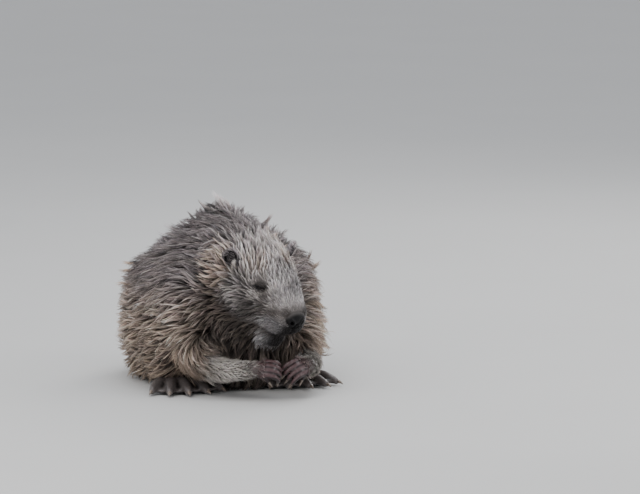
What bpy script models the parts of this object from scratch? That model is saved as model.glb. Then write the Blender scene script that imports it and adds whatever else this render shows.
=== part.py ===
"""A beaver sitting hunched on all fours, as a still life-size model.

It faces -Y with its head turned to its own left (+X) and its hands together under its chin.
The flesh is one fused body, made from rounded masses and parted into nodes by thin cuts.
The outline is that of the coat's tips. All sizes are in metres, +Z is up and the floor is z = 0.
"""

import math

import bmesh
import bpy
import numpy as np
from mathutils import Matrix, Vector

# ---------------------------------------------------------------- driving sizes
GAP = 0.0004  # clearance at each cut and where two pieces meet
FUSE_VOXEL = 0.0042  # grid of the fused body
PAW_VOXEL = 0.0016  # grid of the hands
FOOT_VOXEL = 0.0024  # grid of the hind feet and the tail
EYE_RADIUS = 0.0072
CLAW_LENGTH_HAND = 0.011
CLAW_LENGTH_FOOT = 0.013
CLAW_RADIUS_HAND = 0.0021
CLAW_RADIUS_FOOT = 0.0034
EVENING_PASSES = 60  # smoothing passes that run the body's masses into one another
TRIANGLES = {"flesh": 2080, "forepaw": 400, "hindfoot": 460, "tail": 300, "ear": 110}

HEAD_YAW = math.radians(22)  # towards the animal's left
HEAD_PITCH = math.radians(35)  # nose down
NOSE_TIP = Vector((0.047, -0.243, 0.128))

# Horizontal ovals of the trunk: height, shift to the left, half width, front and back along Y.
TRUNK_OVALS = [
    (-0.016, 0.004, 0.104, -0.050, 0.158),
    (0.000, 0.004, 0.124, -0.082, 0.176),
    (0.030, 0.004, 0.147, -0.104, 0.194),
    (0.070, 0.003, 0.158, -0.118, 0.202),
    (0.110, 0.003, 0.158, -0.124, 0.199),
    (0.150, 0.005, 0.155, -0.121, 0.185),
    (0.185, 0.006, 0.144, -0.110, 0.164),
    (0.215, 0.009, 0.111, -0.094, 0.141),
    (0.240, 0.009, 0.077, -0.076, 0.119),
    (0.262, 0.006, 0.043, -0.056, 0.095),
    (0.280, 0.003, 0.019, -0.036, 0.068),
    (0.292, -0.002, 0.008, -0.013, 0.038),
]

# Rings of the head, in its own frame from the nose tip: distance back, top, bottom, half width.
HEAD_RINGS = [
    (0.004, 0.009, -0.032, 0.019),
    (0.014, 0.015, -0.044, 0.030),
    (0.030, 0.021, -0.052, 0.037),
    (0.050, 0.028, -0.058, 0.043),
    (0.070, 0.036, -0.062, 0.050),
    (0.090, 0.043, -0.067, 0.058),
    (0.115, 0.049, -0.071, 0.064),
    (0.140, 0.050, -0.074, 0.068),
    (0.165, 0.042, -0.072, 0.066),
    (0.190, 0.022, -0.058, 0.052),
    (0.206, 0.000, -0.036, 0.026),
]

# Rings of the tail: distance along it, half width, half thickness.
TAIL_RINGS = [
    (0.000, 0.034, 0.024),
    (0.040, 0.033, 0.020),
    (0.075, 0.036, 0.0135),
    (0.110, 0.045, 0.0105),
    (0.160, 0.055, 0.0095),
    (0.215, 0.057, 0.0085),
    (0.260, 0.050, 0.0075),
    (0.292, 0.034, 0.0065),
    (0.308, 0.012, 0.0050),
]
TAIL_START = Vector((0.004, 0.178, 0.0))
TAIL_BEND = math.radians(26)  # how far the tail swings to the left along its length

COLOURS = {  # linear base colour, roughness
    "coat": ((0.115, 0.082, 0.058), 0.55),
    "face": ((0.135, 0.105, 0.080), 0.55),
    "skin": ((0.030, 0.023, 0.023), 0.50),
    "tail": ((0.028, 0.025, 0.024), 0.55),
    "eye": ((0.006, 0.005, 0.004), 0.08),
    "claw": ((0.110, 0.085, 0.065), 0.35),
}


# ---------------------------------------------------------------- general tools
def start_clean():
    for obj in list(bpy.data.objects):
        bpy.data.objects.remove(obj)
    parts = bpy.data.collections.new("beaver")
    tools = bpy.data.collections.new("cutters")
    tools.hide_render = True
    for collection in (parts, tools):
        bpy.context.scene.collection.children.link(collection)
    return parts, tools


PARTS, TOOLS = start_clean()


def material(name):
    made = bpy.data.materials.get(name)
    if made is None:
        colour, roughness = COLOURS[name]
        made = bpy.data.materials.new(name)
        made.use_nodes = True
        shader = made.node_tree.nodes["Principled BSDF"]
        shader.inputs["Base Color"].default_value = (*colour, 1.0)
        shader.inputs["Roughness"].default_value = roughness
        shader.inputs["Metallic"].default_value = 0.0
        made.diffuse_color = (*colour, 1.0)
    return made


def object_from(name, mesh):
    """A helper solid: it stays a helper until it is finished."""
    obj = bpy.data.objects.new(name, mesh)
    TOOLS.objects.link(obj)
    obj.hide_render = True
    obj.display_type = "WIRE"
    return obj


def outward(bm):
    """Turns the faces of a closed mesh to look out."""
    bm.normal_update()
    bmesh.ops.recalc_face_normals(bm, faces=bm.faces[:])
    if bm.calc_volume(signed=True) < 0:
        bmesh.ops.reverse_faces(bm, faces=bm.faces[:])
    return bm


def object_of(name, bm):
    mesh = bpy.data.meshes.new(name)
    bm.to_mesh(mesh)
    bm.free()
    return object_from(name, mesh)


def settled(obj):
    """Bakes the object's modifiers and its placement into its mesh."""
    graph = bpy.context.evaluated_depsgraph_get()
    mesh = bpy.data.meshes.new_from_object(obj.evaluated_get(graph))
    mesh.transform(obj.matrix_world)
    obj.modifiers.clear()
    obj.matrix_world = Matrix.Identity(4)
    obj.data = mesh
    return obj


def with_modifier(obj, kind, **settings):
    modifier = obj.modifiers.new(kind.lower(), kind)
    for key, value in settings.items():
        setattr(modifier, key, value)
    return modifier


def smooth_rows(rows, steps):
    """Catmull-Rom rows through the given ones, with `steps` to each span."""
    rows = np.array(rows, float)
    padded = np.vstack([2 * rows[0] - rows[1], rows, 2 * rows[-1] - rows[-2]])
    made = []
    for i in range(1, len(padded) - 2):
        p0, p1, p2, p3 = padded[i - 1 : i + 3]
        for k in range(steps):
            t = k / steps
            made.append(
                0.5
                * (
                    2 * p1
                    + (p2 - p0) * t
                    + (2 * p0 - 5 * p1 + 4 * p2 - p3) * t * t
                    + (3 * p1 - p0 - 3 * p2 + p3) * t**3
                )
            )
    made.append(rows[-1])
    return made


def loft(name, rings):
    """A closed skin over rings of equal point count, capped at both ends."""
    bm = bmesh.new()
    loops = [[bm.verts.new(p) for p in ring] for ring in rings]
    for low, high in zip(loops, loops[1:]):
        for i in range(len(low)):
            j = (i + 1) % len(low)
            bm.faces.new((low[i], low[j], high[j], high[i]))
    bm.faces.new(list(reversed(loops[0])))
    bm.faces.new(loops[-1])
    return object_of(name, outward(bm))


def oval(count, power=2.2):
    """Unit superellipse as (cos-like, sin-like) pairs."""
    made = []
    for i in range(count):
        a = 2 * math.pi * i / count
        c, s = math.cos(a), math.sin(a)
        made.append(
            (
                math.copysign(abs(c) ** (2 / power), c),
                math.copysign(abs(s) ** (2 / power), s),
            )
        )
    return made


def blob(name, centre, radii, frame=None, turn=(0, 0, 0), detail=24):
    """An ellipsoid, in the row's frame or in another one."""
    bm = bmesh.new()
    bmesh.ops.create_uvsphere(bm, u_segments=detail, v_segments=detail // 2, radius=1.0)
    angles = [math.radians(a) for a in turn]
    turned = (
        Matrix.Rotation(angles[2], 4, "Z")
        @ Matrix.Rotation(angles[1], 4, "Y")
        @ Matrix.Rotation(angles[0], 4, "X")
    )
    place = Matrix.Translation(Vector(centre)) @ turned @ Matrix.Diagonal((*radii, 1.0))
    bm.transform((frame or Matrix.Identity(4)) @ place)
    return object_of(name, outward(bm))


def tube(name, points, radii, sides=16, spans=5, domes=(0.35, 0.7, 0.94)):
    """A round limb through points, each with its own radius and with round ends."""
    spine = smooth_rows([(*p, r) for p, r in zip(points, radii)], spans)
    rings = []
    count = len(spine)
    across = None
    for i, row in enumerate(spine):
        here = Vector(row[:3])
        ahead = Vector(spine[min(i + 1, count - 1)][:3])
        behind = Vector(spine[max(i - 1, 0)][:3])
        along = (ahead - behind).normalized()
        if across is None:
            across = along.orthogonal().normalized()
        across = (across - along * across.dot(along)).normalized()
        other = along.cross(across)
        if i == 0:
            rings += [dome(here, along, across, other, row[3], -h, sides) for h in reversed(domes)]
        rings.append(dome(here, along, across, other, row[3], 0.0, sides))
        if i == count - 1:
            rings += [dome(here, along, across, other, row[3], h, sides) for h in domes]
    return loft(name, rings)


def dome(centre, along, across, other, radius, height, sides):
    """One ring of a ball at a share of its radius along the axis."""
    reach = radius * math.sqrt(max(0.0, 1 - height * height))
    middle = centre + along * radius * height
    return [
        middle
        + across * reach * math.cos(2 * math.pi * k / sides)
        + other * reach * math.sin(2 * math.pi * k / sides)
        for k in range(sides)
    ]


def slab(name, frame, low, high):
    """A box cutter between two corners of a frame."""
    bm = bmesh.new()
    bmesh.ops.create_cube(bm, size=1.0)
    low, high = Vector(low), Vector(high)
    size = high - low
    bm.transform(frame @ Matrix.Translation((low + high) / 2) @ Matrix.Diagonal((*size, 1.0)))
    return object_of(name, outward(bm))


def fused(name, masses, voxel, smoothing, passes):
    """One closed body from overlapping masses, with its creases eased."""
    joined = bmesh.new()
    for mass in masses:
        joined.from_mesh(mass.data)
        bpy.data.objects.remove(mass)
    obj = object_of(name, joined)
    with_modifier(obj, "REMESH", mode="VOXEL", voxel_size=voxel)
    with_modifier(obj, "SMOOTH", factor=smoothing, iterations=passes)
    return settled(obj)


def copy_of(obj, name):
    return object_from(name, obj.data.copy())


def volume_of(obj):
    """Volume of a closed mesh, or nothing where it has a gap."""
    bm = bmesh.new()
    bm.from_mesh(obj.data)
    closed = len(bm.faces) > 0 and all(edge.is_manifold for edge in bm.edges)
    volume = bm.calc_volume(signed=True) if closed else 0.0
    bm.free()
    return volume


def cut(obj, cutter, operation="DIFFERENCE"):
    """Cuts with the exact solver, and again with the other one where that leaves a flaw."""
    whole = obj.data.copy()
    least = 0.0
    if operation == "DIFFERENCE":
        least = max(0.0, volume_of(obj) - 1.01 * volume_of(cutter))
    for solver in ("EXACT", "MANIFOLD"):
        obj.data = whole.copy()
        with_modifier(obj, "BOOLEAN", operation=operation, object=cutter, solver=solver)
        settled(obj)
        if volume_of(obj) > least:
            break
    return obj


def largest_piece(obj):
    """Drops the crumbs that a cut can leave beside the main body."""
    bm = bmesh.new()
    bm.from_mesh(obj.data)
    bmesh.ops.remove_doubles(bm, verts=bm.verts[:], dist=1e-6)
    left = set(bm.verts)
    groups = []
    while left:
        group, edge = set(), [left.pop()]
        while edge:
            vert = edge.pop()
            group.add(vert)
            for link in vert.link_edges:
                other = link.other_vert(vert)
                if other in left:
                    left.remove(other)
                    edge.append(other)
        groups.append(group)
    keep = max(groups, key=len)
    bmesh.ops.delete(bm, geom=[v for g in groups if g is not keep for v in g], context="VERTS")
    bm.to_mesh(obj.data)
    bm.free()
    return obj


def thinned(obj, triangles):
    """Collapses edges until about this many triangles are left."""
    obj.data.calc_loop_triangles()
    share = triangles / max(1, len(obj.data.loop_triangles))
    if share < 1:
        with_modifier(obj, "DECIMATE", ratio=share)
        settled(obj)
    return obj


def finished(obj, name, finish):
    """Moves a solid to the part's collection under its node name."""
    obj.name = obj.data.name = name
    for collection in list(obj.users_collection):
        collection.objects.unlink(obj)
    PARTS.objects.link(obj)
    obj.hide_render = False
    obj.display_type = "TEXTURED"
    obj.data.materials.clear()
    obj.data.materials.append(material(finish))
    obj.data.shade_smooth()
    obj.data.set_sharp_from_angle(angle=math.radians(40))
    return obj


# ---------------------------------------------------------------- frames
def head_frame():
    """The head's own frame: x to its left, y back from the nose tip, z up."""
    return (
        Matrix.Translation(NOSE_TIP)
        @ Matrix.Rotation(HEAD_YAW, 4, "Z")
        @ Matrix.Rotation(HEAD_PITCH, 4, "X")
    )


HEAD = head_frame()
SIDES = {"right": -1, "left": 1}


def on_head(x, y, z):
    return HEAD @ Vector((x, y, z))


# ---------------------------------------------------------------- masses of the flesh
def trunk_mass():
    shape = oval(40, 2.25)
    rings = []
    for height, shift, half, front, back in smooth_rows(TRUNK_OVALS, 3):
        middle, reach = (front + back) / 2, (back - front) / 2
        rings.append([(shift + half * c, middle + reach * s, height) for c, s in shape])
    return [loft("trunk_mass", rings)]


def head_masses():
    shape = oval(32, 2.15)
    rings = []
    for back, top, bottom, half in smooth_rows(HEAD_RINGS, 3):
        middle, reach = (top + bottom) / 2, (top - bottom) / 2
        rings.append([on_head(half * c, back, middle + reach * s) for c, s in shape])
    masses = [loft("head_mass", rings)]
    masses.append(blob("nose_pad", (0, 0.008, -0.004), (0.0165, 0.010, 0.0135), HEAD))
    masses.append(blob("chin", (0, 0.035, -0.063), (0.018, 0.022, 0.016), HEAD))
    for side in SIDES.values():
        masses += [
            blob("lip_pad", (side * 0.014, 0.022, -0.022), (0.018, 0.021, 0.021), HEAD),
            blob("cheek", (side * 0.038, 0.096, -0.030), (0.030, 0.048, 0.038), HEAD),
            blob("brow", (side * 0.023, 0.068, 0.021), (0.012, 0.024, 0.011), HEAD),
        ]
    return masses


def neck_masses():
    nape = on_head(0, 0.135, -0.012)
    withers = Vector((0.004, -0.030, 0.186))
    middle = (nape + withers) / 2 + Vector((0, 0, 0.006))
    return [
        tube("neck_mass", [nape, middle, withers], [0.062, 0.074, 0.084]),
        blob("throat", (0.004, -0.112, 0.108), (0.078, 0.052, 0.062)),
        blob("chest", (0.002, -0.080, 0.060), (0.098, 0.058, 0.060)),
    ]


def shoulder_masses():
    return [
        blob("shoulder", (0.002 + side * 0.074, -0.060, 0.120), (0.070, 0.074, 0.086))
        for side in SIDES.values()
    ]


def rump_mass():
    return tube(
        "rump_mass",
        [Vector((0.003, 0.120, 0.075)), Vector((0.004, 0.184, 0.050)), Vector((0.009, 0.232, 0.026))],
        [0.085, 0.060, 0.032],
    )


def thigh_points(side):
    return [
        Vector((0.004 + side * 0.086, 0.090, 0.092)),
        Vector((0.005 + side * 0.102, 0.020, 0.078)),
        Vector((0.005 + side * 0.111, -0.050, 0.056)),
    ]


THIGH_RADII = [0.066, 0.064, 0.046]

ARM_POINTS = {
    "right": [
        Vector((-0.082, -0.076, 0.120)),
        Vector((-0.088, -0.106, 0.084)),
        Vector((-0.078, -0.138, 0.050)),
        Vector((-0.048, -0.175, 0.0445)),
        Vector((-0.010, -0.209, 0.050)),
    ],
    "left": [
        Vector((0.080, -0.074, 0.120)),
        Vector((0.088, -0.098, 0.084)),
        Vector((0.094, -0.126, 0.050)),
        Vector((0.089, -0.166, 0.0445)),
        Vector((0.070, -0.200, 0.050)),
    ],
}
ARM_RADII = [0.050, 0.043, 0.031, 0.0215, 0.0165]


def evened(obj, passes, calm):
    """Smooths the mesh, least where `calm` of a point is near zero."""
    group = obj.vertex_groups.new(name="calm")
    for vert in obj.data.vertices:
        group.add([vert.index], min(1.0, max(0.0, calm(vert.co))), "REPLACE")
    with_modifier(obj, "SMOOTH", factor=0.8, iterations=passes, vertex_group="calm")
    settled(obj)
    obj.vertex_groups.clear()
    return obj


def body_share(point):
    """1 on the body, falling to 0 on the face and along the forearms."""
    from_face = (point - on_head(0, 0.05, -0.02)).length
    share = (from_face - 0.075) / 0.05
    for spine in ARM_POINTS.values():
        share = min(share, ((point - (spine[3] + spine[4]) / 2).length - 0.035) / 0.04)
    return share


def flesh():
    """The whole coated body but for the hands, the feet and the tail's blade."""
    masses = trunk_mass() + head_masses() + neck_masses() + shoulder_masses() + [rump_mass()]
    for name, side in SIDES.items():
        masses.append(tube("thigh_mass", thigh_points(side), THIGH_RADII))
        masses.append(tube("arm_mass", ARM_POINTS[name], ARM_RADII))
    return evened(fused("flesh", masses, FUSE_VOXEL, 0.6, 6), EVENING_PASSES, body_share)


# ---------------------------------------------------------------- hands
HANDS = {  # wrist, way the fingers point, way the back of the hand faces
    "right": (Vector((-0.008, -0.2105, 0.050)), Vector((0.86, -0.40, 0.02)), Vector((-0.35, -0.62, 0.55))),
    "left": (Vector((0.0685, -0.204, 0.050)), Vector((-0.78, -0.58, -0.04)), Vector((0.45, -0.45, 0.62))),
}
PALM_LENGTH = 0.019
FINGER_STEPS = [0.010, 0.0095, 0.008]  # lengths of a finger's three bones
FINGER_CURL = [math.radians(a) for a in (18, 60, 102)]
FINGER_RADII = [0.0046, 0.0043, 0.0040, 0.0032]
FINGER_PLACES = [-0.0125, -0.0042, 0.0042, 0.0125]  # across the hand


def hand_axes(name):
    wrist, along, back = HANDS[name]
    along = along.normalized()
    back = (back - along * back.dot(along)).normalized()
    across = along.cross(back)  # from the hand's outer edge to its thumb, on the right
    return wrist, along, back, across * -SIDES[name]


def finger_line(name, index):
    """Points of one finger from knuckle to tip, and the way its claw points."""
    wrist, along, back, across = hand_axes(name)
    place = FINGER_PLACES[index]
    fan = place * 7.0
    point = wrist + along * (PALM_LENGTH - abs(place) * 0.25) + across * place + back * 0.001
    line = [point.copy()]
    heading = along
    for step, curl in zip(FINGER_STEPS, FINGER_CURL):
        heading = along * math.cos(curl) - back * math.sin(curl) + across * fan * math.cos(curl)
        point = point + heading.normalized() * step
        line.append(point.copy())
    return line, (heading - back * 0.15).normalized()


def thumb_line(name):
    wrist, along, back, across = hand_axes(name)
    root = wrist + along * 0.009 + across * 0.011 - back * 0.003
    way = (along * 0.55 + across * 0.55 - back * 0.5).normalized()
    return [root, root + way * 0.009], way


def hand(name):
    wrist, along, back, across = hand_axes(name)
    turned = Matrix((across, along, back)).transposed().to_4x4()
    place = Matrix.Translation(wrist + along * 0.011) @ turned
    masses = [
        blob("palm", (0, 0, 0), (0.0155, 0.017, 0.0085), place),
        tube("wrist", [wrist - along * 0.006, wrist + along * 0.004], [0.0130, 0.0115]),
    ]
    for index in range(len(FINGER_PLACES)):
        line, _ = finger_line(name, index)
        masses.append(tube("finger", [line[0] - along * 0.008] + line, [0.0046] + FINGER_RADII, 10))
    line, _ = thumb_line(name)
    masses.append(tube("thumb", line, [0.0042, 0.0034], 10))
    return thinned(fused("hand", masses, PAW_VOXEL, 0.5, 3), TRIANGLES["forepaw"])


# ---------------------------------------------------------------- hind feet
FOOT_HEELS = {"right": Vector((-0.080, 0.022, 0.0)), "left": Vector((0.080, 0.026, 0.0))}
FOOT_TURN = math.radians(7)  # toes out
TOE_ROOT = 0.088  # from the heel along the foot
TOE_ANGLES = [math.radians(a) for a in (-27, -13, 0, 12, 25)]  # inner toe first
TOE_LENGTHS = [0.052, 0.066, 0.074, 0.072, 0.060]


def foot_frame(name):
    side = SIDES[name]
    way = Matrix.Rotation(side * FOOT_TURN, 4, "Z")
    mirror = Matrix.Diagonal((side, -1, 1, 1))  # x outwards, y forwards
    return Matrix.Translation(FOOT_HEELS[name]) @ way @ mirror


def toe_line(index):
    """Points of one toe from root to tip in the foot's frame, and its heading."""
    angle, length = TOE_ANGLES[index], TOE_LENGTHS[index]
    heading = Vector((math.sin(angle), math.cos(angle), 0.0))
    root = Vector((0.030 * math.sin(angle) / math.sin(TOE_ANGLES[-1]), TOE_ROOT, 0.0130))
    return (
        [
            root,
            root + heading * length * 0.45 + Vector((0, 0, 0.0015)),
            root + heading * length * 0.80 - Vector((0, 0, 0.0025)),
            root + heading * length - Vector((0, 0, 0.0055)),
        ],
        heading,
    )


def foot(name):
    frame = foot_frame(name)

    def placed(points):
        return [frame @ Vector(p) for p in points]

    sole_line = placed([(0, -0.006, 0.016), (0, 0.045, 0.015), (0, 0.090, 0.012)])
    masses = [
        tube("sole", sole_line, [0.019, 0.018, 0.017]),
        blob("heel", (0, 0.000, 0.013), (0.020, 0.026, 0.018), frame),
        blob("ball", (0.002, 0.086, 0.009), (0.034, 0.026, 0.013), frame),
    ]
    for index in range(len(TOE_ANGLES)):
        line, _ = toe_line(index)
        masses.append(tube("toe", placed(line), [0.0100, 0.0088, 0.0078, 0.0062], 12))
    for index in range(len(TOE_ANGLES) - 1):
        near, far = toe_line(index)[0], toe_line(index + 1)[0]
        middle = (near[0] + near[2] + far[0] + far[2]) / 4
        turn = (0, 0, -math.degrees((TOE_ANGLES[index] + TOE_ANGLES[index + 1]) / 2))
        masses.append(blob("web", (middle.x, middle.y, 0.0062), (0.0125, 0.034, 0.0052), frame, turn))
    return thinned(fused("foot", masses, FOOT_VOXEL, 0.5, 3), TRIANGLES["hindfoot"])


# ---------------------------------------------------------------- tail
def tail_line(distance):
    """Middle of the tail on the floor plan, and its heading, at a distance from its root."""
    length = TAIL_RINGS[-1][0]
    share = distance / length
    angle = TAIL_BEND * share
    bend = length / TAIL_BEND
    point = TAIL_START + Vector((bend * (1 - math.cos(angle)), bend * math.sin(angle), 0))
    return point, Vector((math.sin(angle), math.cos(angle), 0))


def tail():
    """A flat paddle that thins to its edges, its root round and sunk in the rump."""
    shape = oval(28, 1.9)
    rings = []
    for distance, half, thick in smooth_rows(TAIL_RINGS, 3):
        middle, heading = tail_line(distance)
        across = Vector((heading.y, -heading.x, 0))
        low = -0.0015 * min(1.0, distance / 0.08)
        rings.append(
            [middle + across * half * c + Vector((0, 0, low + thick * (1 + s))) for c, s in shape]
        )
    return loft("tail", rings)


# ---------------------------------------------------------------- eyes, ears and claws
EYE_PLACE = (0.0340, 0.0700, 0.0125)  # sideways, back and up on the head
EAR_PLACE = (0.0620, 0.1280, 0.0240)
EAR_SIZE = (0.0135, 0.0075, 0.0165)
EAR_GAP = 0.0011  # room round an ear's root


def eye(side, extra=0.0):
    x, y, z = EYE_PLACE
    return blob("eye", (side * x, y, z), [EYE_RADIUS + extra] * 3, HEAD, detail=12)


def eye_opening(side):
    """The hollow that the eye looks out of, wider towards the outside."""
    x, y, z = EYE_PLACE
    return blob(
        "eye_opening",
        (side * (x + 0.0065), y - 0.003, z + 0.001),
        (0.010, 0.0105, 0.0072),
        HEAD,
        (0, 0, side * 20),
        14,
    )


def ear_frame(side):
    """Middle of an ear, its y axis pointing back through the cup."""
    x, y, z = EAR_PLACE
    turned = (
        Matrix.Rotation(side * math.radians(40), 4, "Z")
        @ Matrix.Rotation(side * math.radians(14), 4, "Y")
        @ Matrix.Rotation(math.radians(-12), 4, "X")
    )
    return HEAD @ Matrix.Translation((side * x, y, z)) @ turned


def ear(side):
    """A round cupped ear, hollowed from the front."""
    place = ear_frame(side)
    shell = blob("ear", (0, 0, 0), EAR_SIZE, place, detail=20)
    scoop = blob("scoop", (0, -0.0070, 0.0015), (0.0100, 0.0085, 0.0125), place, detail=16)
    return thinned(cut(shell, scoop), TRIANGLES["ear"])


def ear_hole(side):
    """Where the ear's root sits in the head."""
    place = ear_frame(side)
    return blob("ear_hole", (0, 0, 0), [radius + EAR_GAP for radius in EAR_SIZE], place, detail=14)


def claw(root, heading, length, radius, down):
    """A curved claw from inside the toe to its point."""
    sink = 0.3 * length
    points = [
        root - heading * sink,
        root + heading * length * 0.3,
        root + heading * length * 0.72 + down * length * 0.10,
        root + heading * length + down * length * 0.26,
    ]
    radii = [radius, radius, radius * 0.62, radius * 0.22]
    return tube("claw", points, radii, 6, 1, (0.6,))


# ---------------------------------------------------------------- parting the flesh
HEAD_END = 0.148  # where the head's node ends, back from the nose tip
HEAD_ROOM = 0.016  # how far the head's cutter stands outside its rings
NECK_END = 0.196
NECK_OVAL = (0.084, -0.092, 0.094)  # top, bottom and half width
ARM_CUT_RADII = [0.050, 0.047, 0.040, 0.033, 0.032]
THIGH_CUT_RADII = [0.078, 0.082, 0.068]


def grown(obj, by):
    """A copy of a solid, larger all round."""
    copy = copy_of(obj, obj.name + "_grown")
    with_modifier(copy, "DISPLACE", strength=by, mid_level=0.0)
    return settled(copy)


def trimmed(nail, room):
    """A claw without the end that is sunk in its finger or toe."""
    cut(nail, room)
    return largest_piece(nail)


def above_floor(obj):
    below = slab("floor", Matrix.Identity(4), (-0.6, -0.6, -0.2), (0.6, 0.9, 0.0))
    return cut(obj, below)


def parted(body, name, cutter, wider):
    """Takes what the cutter holds out of the body, as a piece of its own."""
    piece = largest_piece(cut(copy_of(body, name), cutter, "INTERSECT"))
    cut(body, wider)
    largest_piece(body)
    return piece


def head_tube(name, rows):
    """A cutter over ovals in the head's frame, each a distance back, top, bottom and half width."""
    shape = oval(20, 3.2)
    rings = []
    for back, top, bottom, half in rows:
        middle, reach = (top + bottom) / 2, (top - bottom) / 2
        rings.append([on_head(half * c, back, middle + reach * s) for c, s in shape])
    return loft(name, rings)


def head_cutter(extra=0.0):
    """Holds the head back to its end, with room round it."""
    room = HEAD_ROOM + extra
    rows = [(-0.012 - extra, HEAD_RINGS[0][1] + room, HEAD_RINGS[0][2] - room, HEAD_RINGS[0][3] + room)]
    rows += [(y, top + room, low - room, half + room) for y, top, low, half in HEAD_RINGS if y < HEAD_END]
    rows.append((HEAD_END + extra, *rows[-1][1:]))
    return head_tube("head_cutter", rows)


def neck_cutter(extra=0.0):
    """Holds a collar of the body behind the head."""
    top, low, half = NECK_OVAL
    collar = (top + extra, low - extra, half + extra)
    return head_tube("neck_cutter", [(HEAD_END - extra, *collar), (NECK_END + extra, *collar)])


def tube_pair(name, points, radii):
    wider = [radius + GAP for radius in radii]
    return tube(name, points, radii, 12, 2, (0.7,)), tube(name + "_wider", points, wider, 12, 2, (0.7,))


def wrist_slab(name, low, high):
    """A block across the hand's axes, from one distance along the hand to another."""
    wrist, along, back, across = hand_axes(name)
    frame = Matrix.Translation(wrist) @ Matrix((across, along, back)).transposed().to_4x4()
    return slab("wrist_cut", frame, (-0.03, low, -0.03), (0.03, high, 0.03))


def split_body(body):
    """Head, neck, legs and trunk, parted by thin cuts. Returns name and solid pairs."""
    pieces = {"head": parted(body, "head", head_cutter(), head_cutter(GAP))}
    pieces["neck"] = parted(body, "neck", neck_cutter(), neck_cutter(GAP))
    for name, side in SIDES.items():
        arm = tube_pair("arm_cut", ARM_POINTS[name], ARM_CUT_RADII)
        pieces["foreleg_" + name] = parted(body, "foreleg", *arm)
        thigh = tube_pair("thigh_cut", thigh_points(side), THIGH_CUT_RADII)
        pieces["hindleg_" + name] = parted(body, "hindleg", *thigh)
    pieces["trunk"] = body
    return pieces


def make_head_holes(body):
    """Sinks the eyes and the ears into the flesh. Returns them by name."""
    made = {}
    for name, side in SIDES.items():
        cut(body, eye(side, GAP))
        cut(body, eye_opening(side))
        made["eye_" + name] = eye(side)
        cut(body, ear_hole(side))
        made["ear_" + name] = ear(side)
    return made


def make_hand(body, name):
    """The hand beyond the wrist, with its claws. The forearm ends just short of it."""
    cut(body, wrist_slab(name, -GAP, 0.05))
    palm = largest_piece(cut(hand(name), wrist_slab(name, -0.05, 0.0)))
    back = hand_axes(name)[2]
    lines = [finger_line(name, index) for index in range(len(FINGER_PLACES))]
    made = {"forepaw_" + name: palm}
    room = grown(palm, GAP)
    for index, (line, way) in enumerate(lines + [thumb_line(name)]):
        nail = claw(line[-1], way, CLAW_LENGTH_HAND, CLAW_RADIUS_HAND, -back)
        made[f"claw_fore_{name}_{index + 1}"] = trimmed(nail, room)
    return made


def make_foot(body, name):
    """The hind foot where it shows outside the flesh, with its claws."""
    sole = above_floor(largest_piece(cut(foot(name), grown(body, 2 * GAP))))
    frame = foot_frame(name)
    made = {"hindfoot_" + name: sole}
    room = grown(sole, GAP)
    for index in range(len(TOE_ANGLES)):
        line, way = toe_line(index)
        root, heading = frame @ line[-1], frame.to_3x3() @ way
        nail = claw(root, heading, CLAW_LENGTH_FOOT, CLAW_RADIUS_FOOT, Vector((0, 0, -1)))
        made[f"claw_hind_{name}_{index + 1}"] = trimmed(nail, room)
    return made


FINISHES = {
    "head": "face",
    "tail": "tail",
    "eye": "eye",
    "claw": "claw",
    "forepaw": "skin",
    "hindfoot": "skin",
}


def centre_on_origin(made):
    """Puts the middle of the whole, seen from above, at the origin."""
    points = [vert.co for obj in made.values() for vert in obj.data.vertices]
    low = [min(p[axis] for p in points) for axis in range(3)]
    high = [max(p[axis] for p in points) for axis in range(3)]
    shift = Matrix.Translation((-(low[0] + high[0]) / 2, -(low[1] + high[1]) / 2, 0))
    for obj in made.values():
        obj.data.transform(shift)


def main():
    body = thinned(flesh(), TRIANGLES["flesh"])
    made = make_head_holes(body)
    made["tail"] = above_floor(largest_piece(cut(thinned(tail(), TRIANGLES["tail"]), grown(body, 2 * GAP))))
    for name in SIDES:
        made.update(make_hand(body, name))
        made.update(make_foot(body, name))
    above_floor(body)
    made.update(split_body(body))
    centre_on_origin(made)
    for name, obj in made.items():
        finished(obj, name, FINISHES.get(name.split("_")[0], "coat"))


main()
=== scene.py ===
import math

import bmesh
import bpy
import numpy as np
from mathutils import Matrix, Vector
from mathutils.bvhtree import BVHTree
from mathutils.kdtree import KDTree


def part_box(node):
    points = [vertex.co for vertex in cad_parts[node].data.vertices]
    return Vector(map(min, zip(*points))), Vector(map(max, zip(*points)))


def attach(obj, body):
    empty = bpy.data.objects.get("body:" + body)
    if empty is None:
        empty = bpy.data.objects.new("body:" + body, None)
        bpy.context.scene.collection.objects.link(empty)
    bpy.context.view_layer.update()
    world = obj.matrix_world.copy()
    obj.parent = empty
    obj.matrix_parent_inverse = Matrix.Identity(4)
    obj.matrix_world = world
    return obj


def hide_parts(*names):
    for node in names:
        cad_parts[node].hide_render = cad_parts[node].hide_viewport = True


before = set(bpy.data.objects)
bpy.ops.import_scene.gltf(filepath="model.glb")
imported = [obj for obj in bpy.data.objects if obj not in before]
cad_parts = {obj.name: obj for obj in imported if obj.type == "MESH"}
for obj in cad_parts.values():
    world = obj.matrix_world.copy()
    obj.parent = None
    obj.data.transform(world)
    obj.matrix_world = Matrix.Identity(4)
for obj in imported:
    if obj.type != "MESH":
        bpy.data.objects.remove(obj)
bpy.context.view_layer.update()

sideSigns = {"right": -1, "left": 1}

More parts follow.
